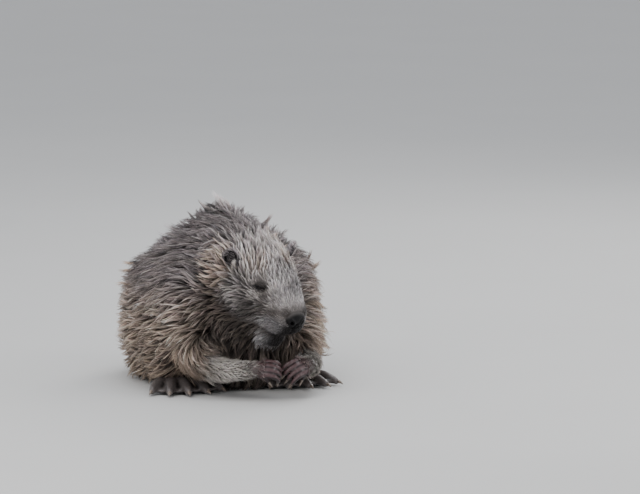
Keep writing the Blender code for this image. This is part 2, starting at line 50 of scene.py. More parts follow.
# where things are, all from the frame
headSettings = {
    "turn": 22,                           # degrees to its own left
    "bend": 35,                           # and down
    "eyeMiddle": (0, 0.070, 0.0125),      # from the nose tip: sideways, back and up
    "noseTip": (0.047, -0.243, 0.128),    # from the plan's origin, on the floor under the body
    "axis": ((0, 0.022, -0.014), (0, 0.115, -0.012)),
    "reach": (0.066, 0.088),              # from that axis, where the head's looks fade out
    "nape": (0.128, 0.172),
}
headAxes = (Matrix.Rotation(math.radians(headSettings["turn"]), 3, "Z")
            @ Matrix.Rotation(math.radians(headSettings["bend"]), 3, "X"))
eyeCentres = {}
for sideName in sideSigns:
    lowCorner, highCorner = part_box("eye_" + sideName)
    eyeCentres[sideName] = (lowCorner + highCorner) / 2
eyeMiddle = (eyeCentres["left"] + eyeCentres["right"]) / 2
noseTip = eyeMiddle - headAxes @ Vector(headSettings["eyeMiddle"])
planOrigin = noseTip - Vector(headSettings["noseTip"])
headMatrix, noseArray, planArray = np.array(headAxes), np.array(noseTip), np.array(planOrigin)


def onPlan(x, y, z):
    return planOrigin + Vector((x, y, z))


def onHead(x, y, z):
    return noseTip + headAxes @ Vector((x, y, z))


armSettings = {
    "lines": {  # shoulder to wrist
        "right": [(-0.082, -0.076, 0.120), (-0.088, -0.106, 0.084), (-0.078, -0.138, 0.050),
                  (-0.048, -0.175, 0.0445), (-0.010, -0.209, 0.050)],
        "left": [(0.080, -0.074, 0.120), (0.088, -0.098, 0.084), (0.094, -0.126, 0.050),
                 (0.089, -0.166, 0.0445), (0.070, -0.200, 0.050)],
    },
    "radii": [0.050, 0.043, 0.031, 0.0215, 0.0165],
    "edge": (0.002, 0.016),   # past the radius, where the arm's looks fade out
    "start": (0.9, 1.9),      # as places along the line, counted in its points
}
armLines = {name: np.array([onPlan(*p) for p in line]) for name, line in armSettings["lines"].items()}
armPlaces = range(len(armSettings["radii"]))
tailRoot = np.array(onPlan(0.009, 0.240, 0.020))


# small array tools
def ease(x, low, high):
    s = np.clip((x - low) / (high - low), 0.0, 1.0)
    return s * s * (3 - 2 * s)


def fade(x, low, high):
    return 1 - ease(x, low, high)


def bulge(x, width):
    return np.exp(-(x / width) ** 2)


def gapTo(points, place):
    return np.linalg.norm(points - np.array(place), axis=1)


def unit(v):
    return v / np.maximum(np.linalg.norm(v, axis=-1, keepdims=True), 1e-9)


def mixed(a, b, share):
    share = share[..., None] if np.ndim(a) > np.ndim(share) else share
    return a * (1 - share) + b * share


def toHead(points):
    return (points - noseArray) @ headMatrix


def alongLine(points, line):
    # distance to a bent line, place along it in points, and its direction there
    best = np.full(len(points), 1e9)
    place = np.zeros(len(points))
    way = np.zeros_like(points)
    for i in range(len(line) - 1):
        step = line[i + 1] - line[i]
        t = np.clip(((points - line[i]) @ step) / (step @ step), 0, 1)
        gap = np.linalg.norm(points - (line[i] + t[:, None] * step), axis=1)
        near = gap < best
        best[near] = gap[near]
        place[near] = i + t[near]
        way[near] = step / np.linalg.norm(step)
    return best, place, way


# the body's regions as soft shares
def headShare(points):
    h = toHead(points)
    gap, _, _ = alongLine(h, np.array(headSettings["axis"]))
    return fade(gap, *headSettings["reach"]) * fade(h[:, 1], *headSettings["nape"])


def armShare(points):
    share = np.zeros(len(points))
    way = np.zeros_like(points)
    place = np.zeros(len(points))
    for line in armLines.values():
        gap, spot, heading = alongLine(points, line)
        radius = np.interp(spot, armPlaces, armSettings["radii"])
        found = fade(gap - radius, *armSettings["edge"]) * ease(spot, *armSettings["start"])
        more = found > share
        share[more], way[more], place[more] = found[more], heading[more], spot[more]
    return share, place, way


coatDepths = {
    "body": 0.0165,
    "faceBack": [0.0, 0.020, 0.050, 0.080, 0.110, 0.140, 0.170],
    "faceDepth": [0.0008, 0.0014, 0.0030, 0.0050, 0.0080, 0.0115, 0.0145],
    "jaw": 0.0035,   # added below the cheek
    "armDepth": [0.0150, 0.0130, 0.0085, 0.0048, 0.0030],
    "belly": 0.0050,
    "tailRoot": 0.0040,
    "eyes": 0.0010,
}


def coatDepth(points):
    h = toHead(points)
    depth = np.full(len(points), coatDepths["body"])
    face = np.interp(h[:, 1], coatDepths["faceBack"], coatDepths["faceDepth"])
    face += coatDepths["jaw"] * ease(-h[:, 2], 0.020, 0.045) * ease(h[:, 1], 0.050, 0.085)
    for centre in eyeCentres.values():
        near = fade(gapTo(points, centre), 0.009, 0.020)
        face = mixed(face, np.full_like(face, coatDepths["eyes"]), near)
    depth = mixed(depth, face, headShare(points))
    share, place, _ = armShare(points)
    depth = mixed(depth, np.interp(place, armPlaces, coatDepths["armDepth"]), share)
    atTail = fade(gapTo(points, tailRoot), 0.030, 0.075)
    depth = mixed(depth, np.full_like(depth, coatDepths["tailRoot"]), atTail)
    under = fade(points[:, 2], 0.004, 0.034)
    return mixed(depth, np.minimum(depth, coatDepths["belly"]), under)


# meshes
def coloured(mesh, name, values):
    layer = mesh.attributes.new(name, "FLOAT_COLOR", "POINT")
    rgba = np.ones((len(values), 4), np.float32)
    rgba[:, :3] = values
    layer.data.foreach_set("color", rgba.ravel())


def numbered(mesh, name, values):
    layer = mesh.attributes.new(name, "FLOAT", "POINT")
    layer.data.foreach_set("value", np.asarray(values, np.float32))


def linked(name, data):
    obj = bpy.data.objects.new(name, data)
    bpy.context.scene.collection.objects.link(obj)
    return obj


def triangleMesh(name, points, triangles, uv=None):
    mesh = bpy.data.meshes.new(name)
    mesh.vertices.add(len(points))
    mesh.vertices.foreach_set("co", np.asarray(points, np.float32).ravel())
    mesh.loops.add(len(triangles) * 3)
    mesh.loops.foreach_set("vertex_index", np.asarray(triangles, np.int32).ravel())
    mesh.polygons.add(len(triangles))
    mesh.polygons.foreach_set("loop_start", np.arange(0, 3 * len(triangles), 3, dtype=np.int32))
    mesh.polygons.foreach_set("use_smooth", np.ones(len(triangles), bool))
    if uv is not None:
        layer = mesh.uv_layers.new(name="OFBake")
        layer.uv.foreach_set("vector", np.asarray(uv[triangles.ravel()], np.float32).ravel())
    mesh.update(calc_edges=True)
    return mesh


def pointsOf(mesh):
    points = np.empty(len(mesh.vertices) * 3, np.float32)
    mesh.vertices.foreach_get("co", points)
    return points.reshape(-1, 3).astype(float)


def normalsOf(mesh):
    normals = np.empty(len(mesh.vertices) * 3, np.float32)
    mesh.vertex_normals.foreach_get("vector", normals)
    return normals.reshape(-1, 3).astype(float)


def movedTo(mesh, points):
    mesh.vertices.foreach_set("co", np.asarray(points, np.float32).ravel())
    mesh.update()


def edgesOf(mesh):
    edges = np.empty(len(mesh.edges) * 2, np.int32)
    mesh.edges.foreach_get("vertices", edges)
    return edges.reshape(-1, 2)


def relaxed(mesh, passes, weights=None, factor=0.5):
    points, edges = pointsOf(mesh), edgesOf(mesh)
    count = len(points)
    a, b = edges[:, 0], edges[:, 1]
    degree = np.maximum(np.bincount(edges.ravel(), minlength=count), 1)[:, None]
    amount = factor if weights is None else factor * weights[:, None]
    for _ in range(passes):
        total = np.stack([np.bincount(a, points[b, k], count) + np.bincount(b, points[a, k], count)
                          for k in range(3)], axis=1)
        points += amount * (total / degree - points)
    movedTo(mesh, points)


def applied(obj):
    mesh = bpy.data.meshes.new_from_object(obj.evaluated_get(bpy.context.evaluated_depsgraph_get()))
    old = obj.data
    obj.modifiers.clear()
    obj.data = mesh
    bpy.data.meshes.remove(old)
    return obj


def remeshed(obj, voxel):
    fuse = obj.modifiers.new("fuse", "REMESH")
    fuse.mode, fuse.voxel_size = "VOXEL", voxel
    return applied(obj)


def nodesJoined(name, nodes, grow=0.0):
    joined = bmesh.new()
    for node in nodes:
        part = bmesh.new()
        part.from_mesh(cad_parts[node].data)
        bmesh.ops.remove_doubles(part, verts=part.verts[:], dist=1e-6)
        part.normal_update()
        if grow:
            for v in part.verts:
                v.co += v.normal * grow
        scratch = meshFrom(part, "scratch")
        joined.from_mesh(scratch)
        bpy.data.meshes.remove(scratch)
    return linked(name, meshFrom(joined, name))


def kdOf(spots):
    tree = KDTree(len(spots))
    for i, spot in enumerate(spots):
        tree.insert(spot, i)
    tree.balance()
    return tree


def meshFrom(bm, name):
    mesh = bpy.data.meshes.new(name)
    bm.to_mesh(mesh)
    bm.free()
    return mesh


def ballInto(bm, centre, radii, axes, detail=20):
    place = Matrix.Translation(centre) @ axes.to_4x4() @ Matrix.Diagonal((*radii, 1.0))
    bmesh.ops.create_uvsphere(bm, u_segments=detail, v_segments=detail // 2, radius=1.0, matrix=place)


# the skin: the flesh nodes fused, then sunk by the coat's depth
skinSettings = {
    "grow": 0.0004,      # closes the thin cuts between the nodes
    "voxel": 0.0037,
    "smoothing": 12,
    "held": 0.75,        # how far the head and arms are kept from the smoothing
    "sinkSteps": 4,
    "eyeFill": 0.0090,
}


def bodySkin():
    legs = [leg + "_" + side for leg in ("foreleg", "hindleg") for side in sideSigns]
    obj = nodesJoined("skin", ["head", "neck", "trunk"] + legs, skinSettings["grow"])
    filled = bmesh.new()
    filled.from_mesh(obj.data)
    for centre in eyeCentres.values():
        ballInto(filled, centre, [skinSettings["eyeFill"]] * 3, Matrix.Identity(3), 32)
    filled.to_mesh(obj.data)
    filled.free()
    remeshed(obj, skinSettings["voxel"])
    head = headShare(pointsOf(obj.data))
    arm, _, _ = armShare(pointsOf(obj.data))
    free = 1 - skinSettings["held"] * np.maximum(head, arm)
    relaxed(obj.data, skinSettings["smoothing"], free)
    step = (coatDepth(pointsOf(obj.data)) / skinSettings["sinkSteps"])[:, None]
    for _ in range(skinSettings["sinkSteps"]):
        movedTo(obj.data, pointsOf(obj.data) - normalsOf(obj.data) * step)
        relaxed(obj.data, 2, free)
    remeshed(obj, skinSettings["voxel"])
    relaxed(obj.data, 2)
    return obj


def bareSkin(name, nodes, voxel, smoothing):
    obj = remeshed(nodesJoined(name, nodes), voxel)
    relaxed(obj.data, smoothing)
    return obj


# the hands: palm, tendons, fingers and thumb run together
handSettings = {
    # places on a hand are along the fingers, across the palm and out of its back
    "wrists": {"right": (-0.008, -0.2105, 0.050), "left": (0.0685, -0.204, 0.050)},
    "fingerWays": {"right": (0.86, -0.40, 0.02), "left": (-0.78, -0.58, -0.04)},
    "backWays": {"right": (-0.35, -0.62, 0.55), "left": (0.45, -0.45, 0.62)},
    "palms": [((0.011, 0, 0), (0.0152, 0.0165, 0.0078)), ((0.012, 0.006, -0.004), (0.008, 0.011, 0.006))],
    "wristLine": [-0.016, -0.004, 0.006],
    "wristRadii": [0.0090, 0.0118, 0.0105],
    "palmLength": 0.019,
    "palmRounding": 0.25,   # how much further back the outer fingers start
    "steps": [0.010, 0.0095, 0.008],
    "curls": [18, 60, 102],   # degrees
    "spread": 7,
    "places": [-0.0125, -0.0042, 0.0042, 0.0125],
    "radii": [0.0045, 0.0044, 0.0037, 0.0041, 0.0034, 0.0036, 0.0026],
    "fingerStart": 0.008,     # how far back in the palm the fingers begin
    "tendonRadii": [0.0022, 0.0030],
    "tendonStart": (0.002, 0.55, 0.0058),   # along, as a share of the finger's place across, and up
    "tendonRise": 0.0022,
    "thumb": (0.009, 0.011, -0.003),
    "thumbWay": (0.55, 0.55, -0.5),
    "thumbLength": 0.009,
    "thumbRadii": [0.0042, 0.0034],
    "voxel": 0.00115,
    "smoothing": 3,
    "furredTo": 0.010,
}


def handFrame(side):
    wrist = onPlan(*handSettings["wrists"][side])
    along = Vector(handSettings["fingerWays"][side]).normalized()
    back = Vector(handSettings["backWays"][side])
    back = (back - along * back.dot(along)).normalized()
    return wrist, along, back, along.cross(back) * -sideSigns[side]


def onHand(side, place):
    wrist, along, back, across = handFrame(side)
    return wrist + along * place[0] + across * place[1] + back * place[2]


def fingerLine(side, place):
    _, along, back, across = handFrame(side)
    palm = handSettings["palmLength"] - abs(place) * handSettings["palmRounding"]
    line = [onHand(side, (palm, place, 0.001))]
    for step, curl in zip(handSettings["steps"], handSettings["curls"]):
        turn = math.radians(curl)
        fan = across * place * handSettings["spread"] * math.cos(turn)
        heading = along * math.cos(turn) - back * math.sin(turn) + fan
        line.append(line[-1] + heading.normalized() * step)
    return line


def thumbLine(side):
    _, along, back, across = handFrame(side)
    root = onHand(side, handSettings["thumb"])
    ahead, out, up = handSettings["thumbWay"]
    way = (along * ahead + across * out + back * up).normalized()
    return [root, root + way * handSettings["thumbLength"]]


def ringsJoined(bm, rings):
    loops = [[bm.verts.new(p) for p in ring] for ring in rings]
    for low, high in zip(loops, loops[1:]):
        for i in range(len(low)):
            j = (i + 1) % len(low)
            bm.faces.new((low[i], low[j], high[j], high[i]))
    bm.faces.new(list(reversed(loops[0])))
    bm.faces.new(loops[-1])


def smoothPath(points, steps):
    points = np.array([tuple(p) for p in points], float)
    padded = np.vstack([2 * points[0] - points[1], points, 2 * points[-1] - points[-2]])
    made = []
    for i in range(1, len(padded) - 2):
        p0, p1, p2, p3 = padded[i - 1:i + 3]
        for t in np.arange(steps) / steps:
            made.append(0.5 * (2 * p1 + (p2 - p0) * t + (2 * p0 - 5 * p1 + 4 * p2 - p3) * t * t
                               + (3 * p1 - p0 - 3 * p2 + p3) * t ** 3))
    return np.array(made + [points[-1]])


roundEnd = [0.35, 0.7, 0.94]   # rings past a limb's end, as shares of its radius


def tubeInto(bm, points, radii, sides=12, steps=4):
    # a limb along points with round ends
    path = smoothPath(points, steps)
    sizes = np.interp(np.linspace(0, 1, len(path)), np.linspace(0, 1, len(radii)), radii)
    across = None
    rings = []
    for i, spot in enumerate(path):
        along = Vector(path[min(i + 1, len(path) - 1)] - path[max(i - 1, 0)]).normalized()
        if across is None:
            across = along.orthogonal()
        across = (across - along * across.dot(along)).normalized()
        other = along.cross(across)
        caps = [0.0]
        if i == 0:
            caps = [-cap for cap in roundEnd[::-1]] + caps
        if i == len(path) - 1:
            caps = caps + roundEnd
        for cap in caps:
            reach = sizes[i] * math.sqrt(1 - cap * cap)
            middle = Vector(spot) + along * sizes[i] * cap
            rings.append([middle + across * reach * math.cos(math.tau * k / sides)
                          + other * reach * math.sin(math.tau * k / sides) for k in range(sides)])
    ringsJoined(bm, rings)


def outwards(bm):
    bm.normal_update()
    bmesh.ops.recalc_face_normals(bm, faces=bm.faces[:])
    return bm


def handSkin(side):
    wrist, along, back, across = handFrame(side)
    axes = Matrix((across, along, back)).transposed()
    bm = bmesh.new()
    for place, radii in handSettings["palms"]:
        ballInto(bm, onHand(side, place), radii, axes)
    tubeInto(bm, [wrist + along * reach for reach in handSettings["wristLine"]], handSettings["wristRadii"])
    ahead, inward, up = handSettings["tendonStart"]
    for place in handSettings["places"]:
        line = fingerLine(side, place)
        tubeInto(bm, [line[0] - along * handSettings["fingerStart"]] + line, handSettings["radii"])
        root = wrist + along * ahead + across * place * inward + back * up
        tubeInto(bm, [root, line[0] + back * handSettings["tendonRise"]], handSettings["tendonRadii"], 10)
    tubeInto(bm, thumbLine(side), handSettings["thumbRadii"], 10)
    name = "hand_" + side
    obj = remeshed(linked(name, meshFrom(outwards(bm), name)), handSettings["voxel"])
    relaxed(obj.data, handSettings["smoothing"])
    return obj


# the ears, hollowed deeper than in the solids
earSettings = {
    "place": (0.0620, 0.1280, 0.0240),
    "turns": ((40, "Z"), (14, "Y"), (-12, "X")),  # degrees, the first two mirrored
    "cup": (0.0112, 0.0138),
    "cupRise": 0.0015,
    "cupDepth": 0.0040,
    "buried": 0.011,   # how far the lower rim goes down into the coat
    "buriedWay": (-1, 0.25, -0.15),
    "voxel": 0.0012,
    "outline": (0.0140, 0.0080, 0.0170),
}


def earFrame(side):
    sign = sideSigns[side]
    x, y, z = earSettings["place"]
    axes = headAxes.copy()
    for degrees, axis in earSettings["turns"]:
        axes = axes @ Matrix.Rotation(math.radians(degrees * (1 if axis == "X" else sign)), 3, axis)
    return np.array(onHead(sign * x, y, z)), np.array(axes)


def inEar(points, side):
    centre, axes = earFrame(side)
    return (points - centre) @ axes


def cupDistance(e):
    # 1 at the rim of the ear's opening
    wide, high = earSettings["cup"]
    return np.sqrt((e[:, 0] / wide) ** 2 + ((e[:, 2] - earSettings["cupRise"]) / high) ** 2)


def cupShare(points, side):
    e = inEar(points, side)
    return fade(cupDistance(e), 0.70, 1.0) * fade(e[:, 1], 0.0012, 0.0030)


def earSkin(side):
    obj = bareSkin("ear_" + side, ["ear_" + side], earSettings["voxel"], 2)
    points = pointsOf(obj.data)
    _, axes = earFrame(side)
    e = inEar(points, side)
    down = ease(-e[:, 2], -0.003, 0.013) * ease(-e[:, 1], -0.006, 0.002)
    inward = unit(headMatrix @ (np.array(earSettings["buriedWay"]) * [sideSigns[side], 1, 1]))
    points = points + axes[:, 1] * (earSettings["cupDepth"] * cupShare(points, side))[:, None]
    movedTo(obj.data, points + inward * (earSettings["buried"] * down)[:, None])
    return obj


# claws, the solids' own rounded off
clawSettings = {"rounding": 2}


def clawPiece(kind, side):
    nodes = [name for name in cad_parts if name.startswith("claw_" + kind + "_" + side)]
    obj = nodesJoined("claws_" + kind + "_" + side, nodes)
    rounding = obj.modifiers.new("rounding", "SUBSURF")
    rounding.levels = rounding.render_levels = clawSettings["rounding"]
    return applied(obj), nodes


# the face: finer skin, then lids, nose and mouth pressed into it
eyeSettings = {
    "radius": 0.0072,
    "gaze": (0.90, -0.36, 0.22),
    "slant": 0.45,
    "halfLength": 0.98,   # the opening between the lids, as angles from the eye's middle
    "upper": 0.38,
    "lower": 0.28,
    "powers": (1.8, 1.35, 1.6),   # how round the opening's corners are
    "angle": 0.36,
    "profileAt": [-1.0, -0.10, -0.02, 0.04, 0.12, 0.24, 0.42, 0.80],
    "profile": [0.70, 0.78, 0.97, 1.12, 1.20, 1.13, 1.17, 1.24],
}
noseSettings = {
    "padMiddle": (0.0, 0.0060, -0.0040),
    "padSize": (0.0172, 0.0135, 0.0138),
    "padTaper": 0.30,
    "nostril": (0.0098, 0.0050, -0.0050),
    "nostrilLong": 0.0040,
    "nostrilWide": 0.0021,
    "nostrilDepth": 0.0045,
    "nostrilRim": 0.0011,
    "padGroove": 0.0005,
    "splitDepth": 0.0020,     # the groove from the pad down to the mouth
    "splitWidth": 0.0015,
    "mouthDepth": 0.0016,
    "mouthWidth": 0.0022,
    "mouthHeight": -0.0415,
}
# where the skin is made finer: round each eye by reach, then places on the head with their reach
finerSkin = {
    "eyes": (0.021, 0.016, 0.0125),
    "nose": [((0, 0.014, -0.018), 0.034), ((0, 0.006, -0.006), 0.021)],
}


def refinedNear(obj, centre, radius):
    bm = bmesh.new()
    bm.from_mesh(obj.data)
    centre = Vector(centre)
    near = {v for v in bm.verts if (v.co - centre).length < radius}
    edges = [e for e in bm.edges if e.verts[0] in near and e.verts[1] in near]
    bmesh.ops.subdivide_edges(bm, edges=edges, cuts=1, use_grid_fill=True, smooth=0.5)
    bmesh.ops.triangulate(bm, faces=[f for f in bm.faces if len(f.verts) > 4])
    bm.to_mesh(obj.data)
    bm.free()


def eyeFrame(side):
    sign = sideSigns[side]
    gaze = headMatrix @ (unit(np.array(eyeSettings["gaze"])) * [sign, 1, 1])
    front = headMatrix @ np.array([0.0, -1.0, eyeSettings["slant"]])
    front = unit(front - gaze * (front @ gaze))
    up = np.cross(gaze, front) * sign
    return np.array(eyeCentres[side]), gaze, front, up


def lidDistance(points, side):
    # how far outside the opening between the lids, about in radians
    centre, gaze, front, up = eyeFrame(side)
    v = points - centre
    r = np.linalg.norm(v, axis=1)
    u = v / np.maximum(r, 1e-9)[:, None]
    ahead = u @ gaze
    across, rise = np.arctan2(u @ front, ahead), np.arctan2(u @ up, ahead)
    half = np.where(rise > 0, eyeSettings["upper"], eyeSettings["lower"])
    wide, high, both = eyeSettings["powers"]
    q = (np.abs(across / eyeSettings["halfLength"]) ** wide + np.abs(rise / half) ** high) ** (1 / both)
    return (q - 1) * eyeSettings["angle"], r, u, ahead


def eyesShaped(points):
    for side in sideSigns:
        distance, r, u, ahead = lidDistance(points, side)
        height = np.interp(distance, eyeSettings["profileAt"], eyeSettings["profile"])
        keep = np.maximum(ease(distance, 0.30, 1.05), ease(r, 0.013, 0.020))
        keep = np.maximum(keep, fade(ahead, -0.1, 0.3))
        centre = np.array(eyeCentres[side])
        points = centre + u * (eyeSettings["radius"] * height * (1 - keep) + r * keep)[:, None]
    return points


def nostrilDistance(h):
    # 0 in the middle of a nostril, 1 at its edge
    x, y, z = noseSettings["nostril"]
    dx, dy, dz = np.abs(h[:, 0]) - x, h[:, 1] - y, h[:, 2] - z
    long = 0.75 * dy + 0.55 * dz + 0.35 * dx
    wide = np.sqrt(np.maximum(dx * dx + dy * dy + dz * dz - long * long, 0))
    return np.sqrt((long / noseSettings["nostrilLong"]) ** 2 + (wide / noseSettings["nostrilWide"]) ** 2)


def padDistance(h):
    # 1 at the pad's edge, which narrows towards the lip
    offset = (h - np.array(noseSettings["padMiddle"])) / np.array(noseSettings["padSize"])
    offset[:, 0] /= 1 + noseSettings["padTaper"] * np.clip(offset[:, 2], -1, 0.4)
    return np.linalg.norm(offset, axis=1)


def faceShaped(points, normals):
    h = toHead(points)
    hole, pad, nose = nostrilDistance(h), padDistance(h), noseSettings
    push = nose["nostrilRim"] * bulge(hole - 2.1, 0.7) - nose["nostrilDepth"] * np.exp(-hole ** 2 * 0.9)
    push *= fade(pad, 1.05, 1.5)
    push -= nose["padGroove"] * bulge(pad - 1.06, 0.08)
    split = bulge(h[:, 0], nose["splitWidth"]) * ease(-h[:, 2], 0.004, 0.012) * fade(-h[:, 2], 0.036, 0.042)
    push -= nose["splitDepth"] * split * fade(h[:, 1], 0.016, 0.026)
    lip = nose["mouthHeight"] - 5.0 * h[:, 0] ** 2 + 0.06 * h[:, 1]
    line = bulge(h[:, 2] - lip, nose["mouthWidth"]) * fade(h[:, 1], 0.030, 0.055)
    push -= nose["mouthDepth"] * line * fade(np.abs(h[:, 0]), 0.010, 0.022)
    return points + normals * (push * headShare(points))[:, None]


def faceSculpted(obj):
    for side in sideSigns:
        for radius in finerSkin["eyes"]:
            refinedNear(obj, eyeCentres[side], radius)
    for place, radius in finerSkin["nose"]:
        refinedNear(obj, onHead(*place), radius)
    movedTo(obj.data, eyesShaped(pointsOf(obj.data)))
    for _ in range(2):
        movedTo(obj.data, faceShaped(pointsOf(obj.data), normalsOf(obj.data)))


skinObject = bodySkin()
faceSculpted(skinObject)
print("body skin", len(skinObject.data.vertices), "points")
footSettings = {"voxel": 0.0023, "smoothing": 4}
tailSettings = {"voxel": 0.0034, "smoothing": 6}
bareParts = {}
for sideName in sideSigns:
    bareParts["hand_" + sideName] = handSkin(sideName)
    bareParts["foot_" + sideName] = bareSkin("foot_" + sideName, ["hindfoot_" + sideName], **footSettings)
    bareParts["ear_" + sideName] = earSkin(sideName)
bareParts["tail"] = bareSkin("tailBlade", ["tail"], **tailSettings)
for partName, part in bareParts.items():
    print(partName, len(part.data.vertices), "points")


# colours, by place on the body
coatColours = {
    # the back's grey-lilac is partly the fur's own colour, partly a painted sky reflection
    "back": (0.212, 0.182, 0.180),
    "flank": (0.405, 0.318, 0.264),
    "low": (0.140, 0.102, 0.078),
    "golden": (0.500, 0.380, 0.285),
    "rust": (0.680, 0.500, 0.385),
    "face": (0.330, 0.298, 0.285),
    "crown": (0.680, 0.602, 0.580),
    "cheek": (0.100, 0.086, 0.080),
    "bridge": (0.440, 0.408, 0.402),
    "cheekShadow": (0.112, 0.096, 0.090),
    "throat": (0.122, 0.097, 0.082),
    "mouthShade": (0.018, 0.015, 0.015),
    "chin": (0.450, 0.432, 0.442),
    "lip": (0.215, 0.203, 0.207),
    "foreleg": (0.475, 0.440, 0.405),
    "ear": (0.060, 0.054, 0.056),
    "hand": (0.080, 0.046, 0.048),
    "foot": (0.070, 0.060, 0.058),
    "nose": (0.004, 0.0035, 0.004),
}


def waves(points, wavelength, seed):
    # a smooth field of about -1 to 1, from a few crossed sine waves
    rng = np.random.default_rng(seed)
    ways = unit(rng.normal(size=(6, 3))) * (math.tau / wavelength) * rng.uniform(0.7, 1.4, (6, 1))
    return np.sin(points @ ways.T + rng.uniform(0, math.tau, 6)).sum(1) / 2.6


def layered(points, layers, start=0):
    # waves added up, each with its size, length and seed
    total = start
    for size, length, seed in layers:
        total = total + size * waves(points, length, seed)
    return total


def chinShare(h):
    chin = fade(h[:, 1], 0.042, 0.056) * ease(-h[:, 2], 0.050, 0.056)
    return chin * fade(-h[:, 2], 0.074, 0.084) * ease(h[:, 1], 0.020, 0.034)


def bothSides(h):
    return np.column_stack([np.abs(h[:, 0]), h[:, 1], h[:, 2]])


def lipShare(h):
    # the pale bristly pad behind each side of the lip
    gap = (bothSides(h) - [0.033, 0.036, -0.027]) / [0.012, 0.010, 0.013]
    return fade(np.linalg.norm(gap, axis=1), 0.35, 1.0)


def eyeNear(points):
    # 1 at the lids, 0 past the folds round them
    return fade(np.min([gapTo(points, centre) for centre in eyeCentres.values()], axis=0), 0.011, 0.026)


# soft marks over the body and then over the face, in order: colour, gain, share, and soft edges,
# each as what is measured, where the mark starts and where it is full
bodyMarks = [
    # greyer on the back and browner down the flanks: partly the fur's own colours, partly a painted sky
    # reflection on top
    ("flank", 1.0, 1.0, ("up", 0.190, 0.080)),
    ("low", 1.0, 1.0, ("up", 0.110, 0.030)),
    ("golden", 1.0, 0.60, ("raggedSide", 0.050, 0.160), ("raggedUp", 0.250, 0.050)),
    # its gain of 1.25 is painted light, brightening the far golden flank as if lit from that side
    ("golden", 1.25, 0.65, ("raggedLeft", 0.070, 0.135), ("raggedUp", 0.260, 0.090), ("back", 0.16, -0.04)),
    # painted shade on the chest under the head
    ("throat", 1.0, 1.0, ("back", -0.040, -0.110), ("middle", 0.090, 0.050), ("up", 0.170, 0.110)),
]
faceMarks = [
    ("bridge", 1.0, 1.0, ("side", 0.036, 0.018), ("up", -0.004, 0.014), ("back", 0.012, 0.030),
     ("back", 0.125, 0.075)),
    ("crown", 1.0, 0.8, ("up", 0.006, 0.024), ("back", 0.070, 0.100)),
    ("cheek", 1.0, 1.0, ("up", 0.000, -0.014), ("back", 0.040, 0.060), ("back", 0.13, 0.10)),
    ("lip", 1.0, 1.0, ("up", 0.000, -0.018), ("back", 0.052, 0.024)),
    # painted shadow under the cheek
    ("cheekShadow", 1.0, 0.85, ("up", -0.020, -0.040), ("back", 0.022, 0.045)),
    # painted shade in the folds under and before each eye
    ("cheek", 1.0, 0.95, ("underEye", 1.0, 0.25)),
    ("cheek", 1.0, 0.85, ("beforeEye", 1.0, 0.25)),
    ("face", 1.4, 0.85, ("underEar", 1.10, 0.45)),
    # painted shade under the jaw and chin
    ("throat", 1.0, 1.0, ("up", -0.036, -0.052), ("back", 0.020, 0.036)),
]
# painted shade in the folds of the face, as lines from the nose tip on either side, and their reach
faceFolds = {
    "underEye": ([(0.018, 0.012, 0.006), (0.029, 0.024, -0.002), (0.039, 0.040, -0.011),
                  (0.050, 0.060, -0.028)], 0.0105),
    "beforeEye": ([(0.038, 0.070, 0.019), (0.033, 0.058, 0.012), (0.037, 0.046, 0.000),
                   (0.040, 0.040, -0.010)], 0.0115),
}
underEar = {"middle": (0.058, 0.089, -0.020), "size": (0.020, 0.030, 0.014), "ragged": 60}
# rust fur behind and over each ear: middle on the head, reach, share
rustPatches = [((0.046, 0.148, -0.012), 0.042, 0.90), ((0.036, 0.098, 0.030), 0.026, 0.40)]
# painted light on the side of the neck behind the cheek, lifting the head's shadow there: middle, reach, gain
paintedLightPatch = {"middle": (-0.081, -0.111, 0.140), "reach": (0.015, 0.055), "gain": 0.45}
eyeShadow = {"reach": (0.0100, 0.0180), "gain": 0.32}
# waves that make edges ragged and the whole coat uneven: size, length and seed
raggedWaves = ((0.035, 0.07, 5), (0.015, 0.025, 6))
unevenWaves = ((0.17, 0.075, 3), (0.13, 0.028, 4))


def within(places, *edges):
    share = 1.0
    for measure, start, full in edges:
        share = share * ease(places[measure], start, full)
    return share


def marked(tone, marks, places):
    for colour, gain, share, *edges in marks:
        tone = mixed(tone, np.array(coatColours[colour]) * gain, share * within(places, *edges))
    return tone


def faceTone(points, h):
    c = {name: np.array(value) for name, value in coatColours.items()}
    folded = bothSides(h)
    at = dict(zip(("side", "back", "up"), folded.T))
    wander = 0.0025 * waves(points, 0.018, 61)
    for name, (line, reach) in faceFolds.items():
        at[name] = (alongLine(folded, np.array(line))[0] + wander) / reach
    below = (folded - underEar["middle"]) / underEar["size"]
    at["underEar"] = np.linalg.norm(below, axis=1) + underEar["ragged"] * wander
    tone = marked(np.tile(c["face"], (len(h), 1)), faceMarks, at)
    tone = mixed(tone, c["chin"], np.maximum(chinShare(h), 0.85 * lipShare(h)))
    # painted shadow under the nose pad and in the mouth line
    shadeUnderNose = within(at, ("side", 0.026, 0.015), ("back", 0.036, 0.020), ("up", -0.008, -0.016))
    shadeUnderNose *= 1 - within(at, ("up", -0.051, -0.058), ("back", 0.020, 0.034))
    mouthShade = bulge(at["up"] - noseSettings["mouthHeight"] + 0.004, 0.0055) * fade(at["back"], 0.032, 0.050)
    tone = mixed(tone, c["mouthShade"], np.maximum(shadeUnderNose, mouthShade * 0.95))
    fringe = fade(padDistance(h), 1.0, 1.55) * (at["back"] < 0.04)
    tone = tone * (1 - 0.4 * fringe)[:, None]
    for centre in eyeCentres.values():
        side, back, up = ((points - np.array(centre)) @ headMatrix).T
        gap = np.sqrt((0.85 * (back - 0.45 * up)) ** 2 + (1.5 * (up + 0.45 * back)) ** 2 + side ** 2)
        tone = mixed(tone, c["cheekShadow"] * eyeShadow["gain"], fade(gap, *eyeShadow["reach"]))
    return tone


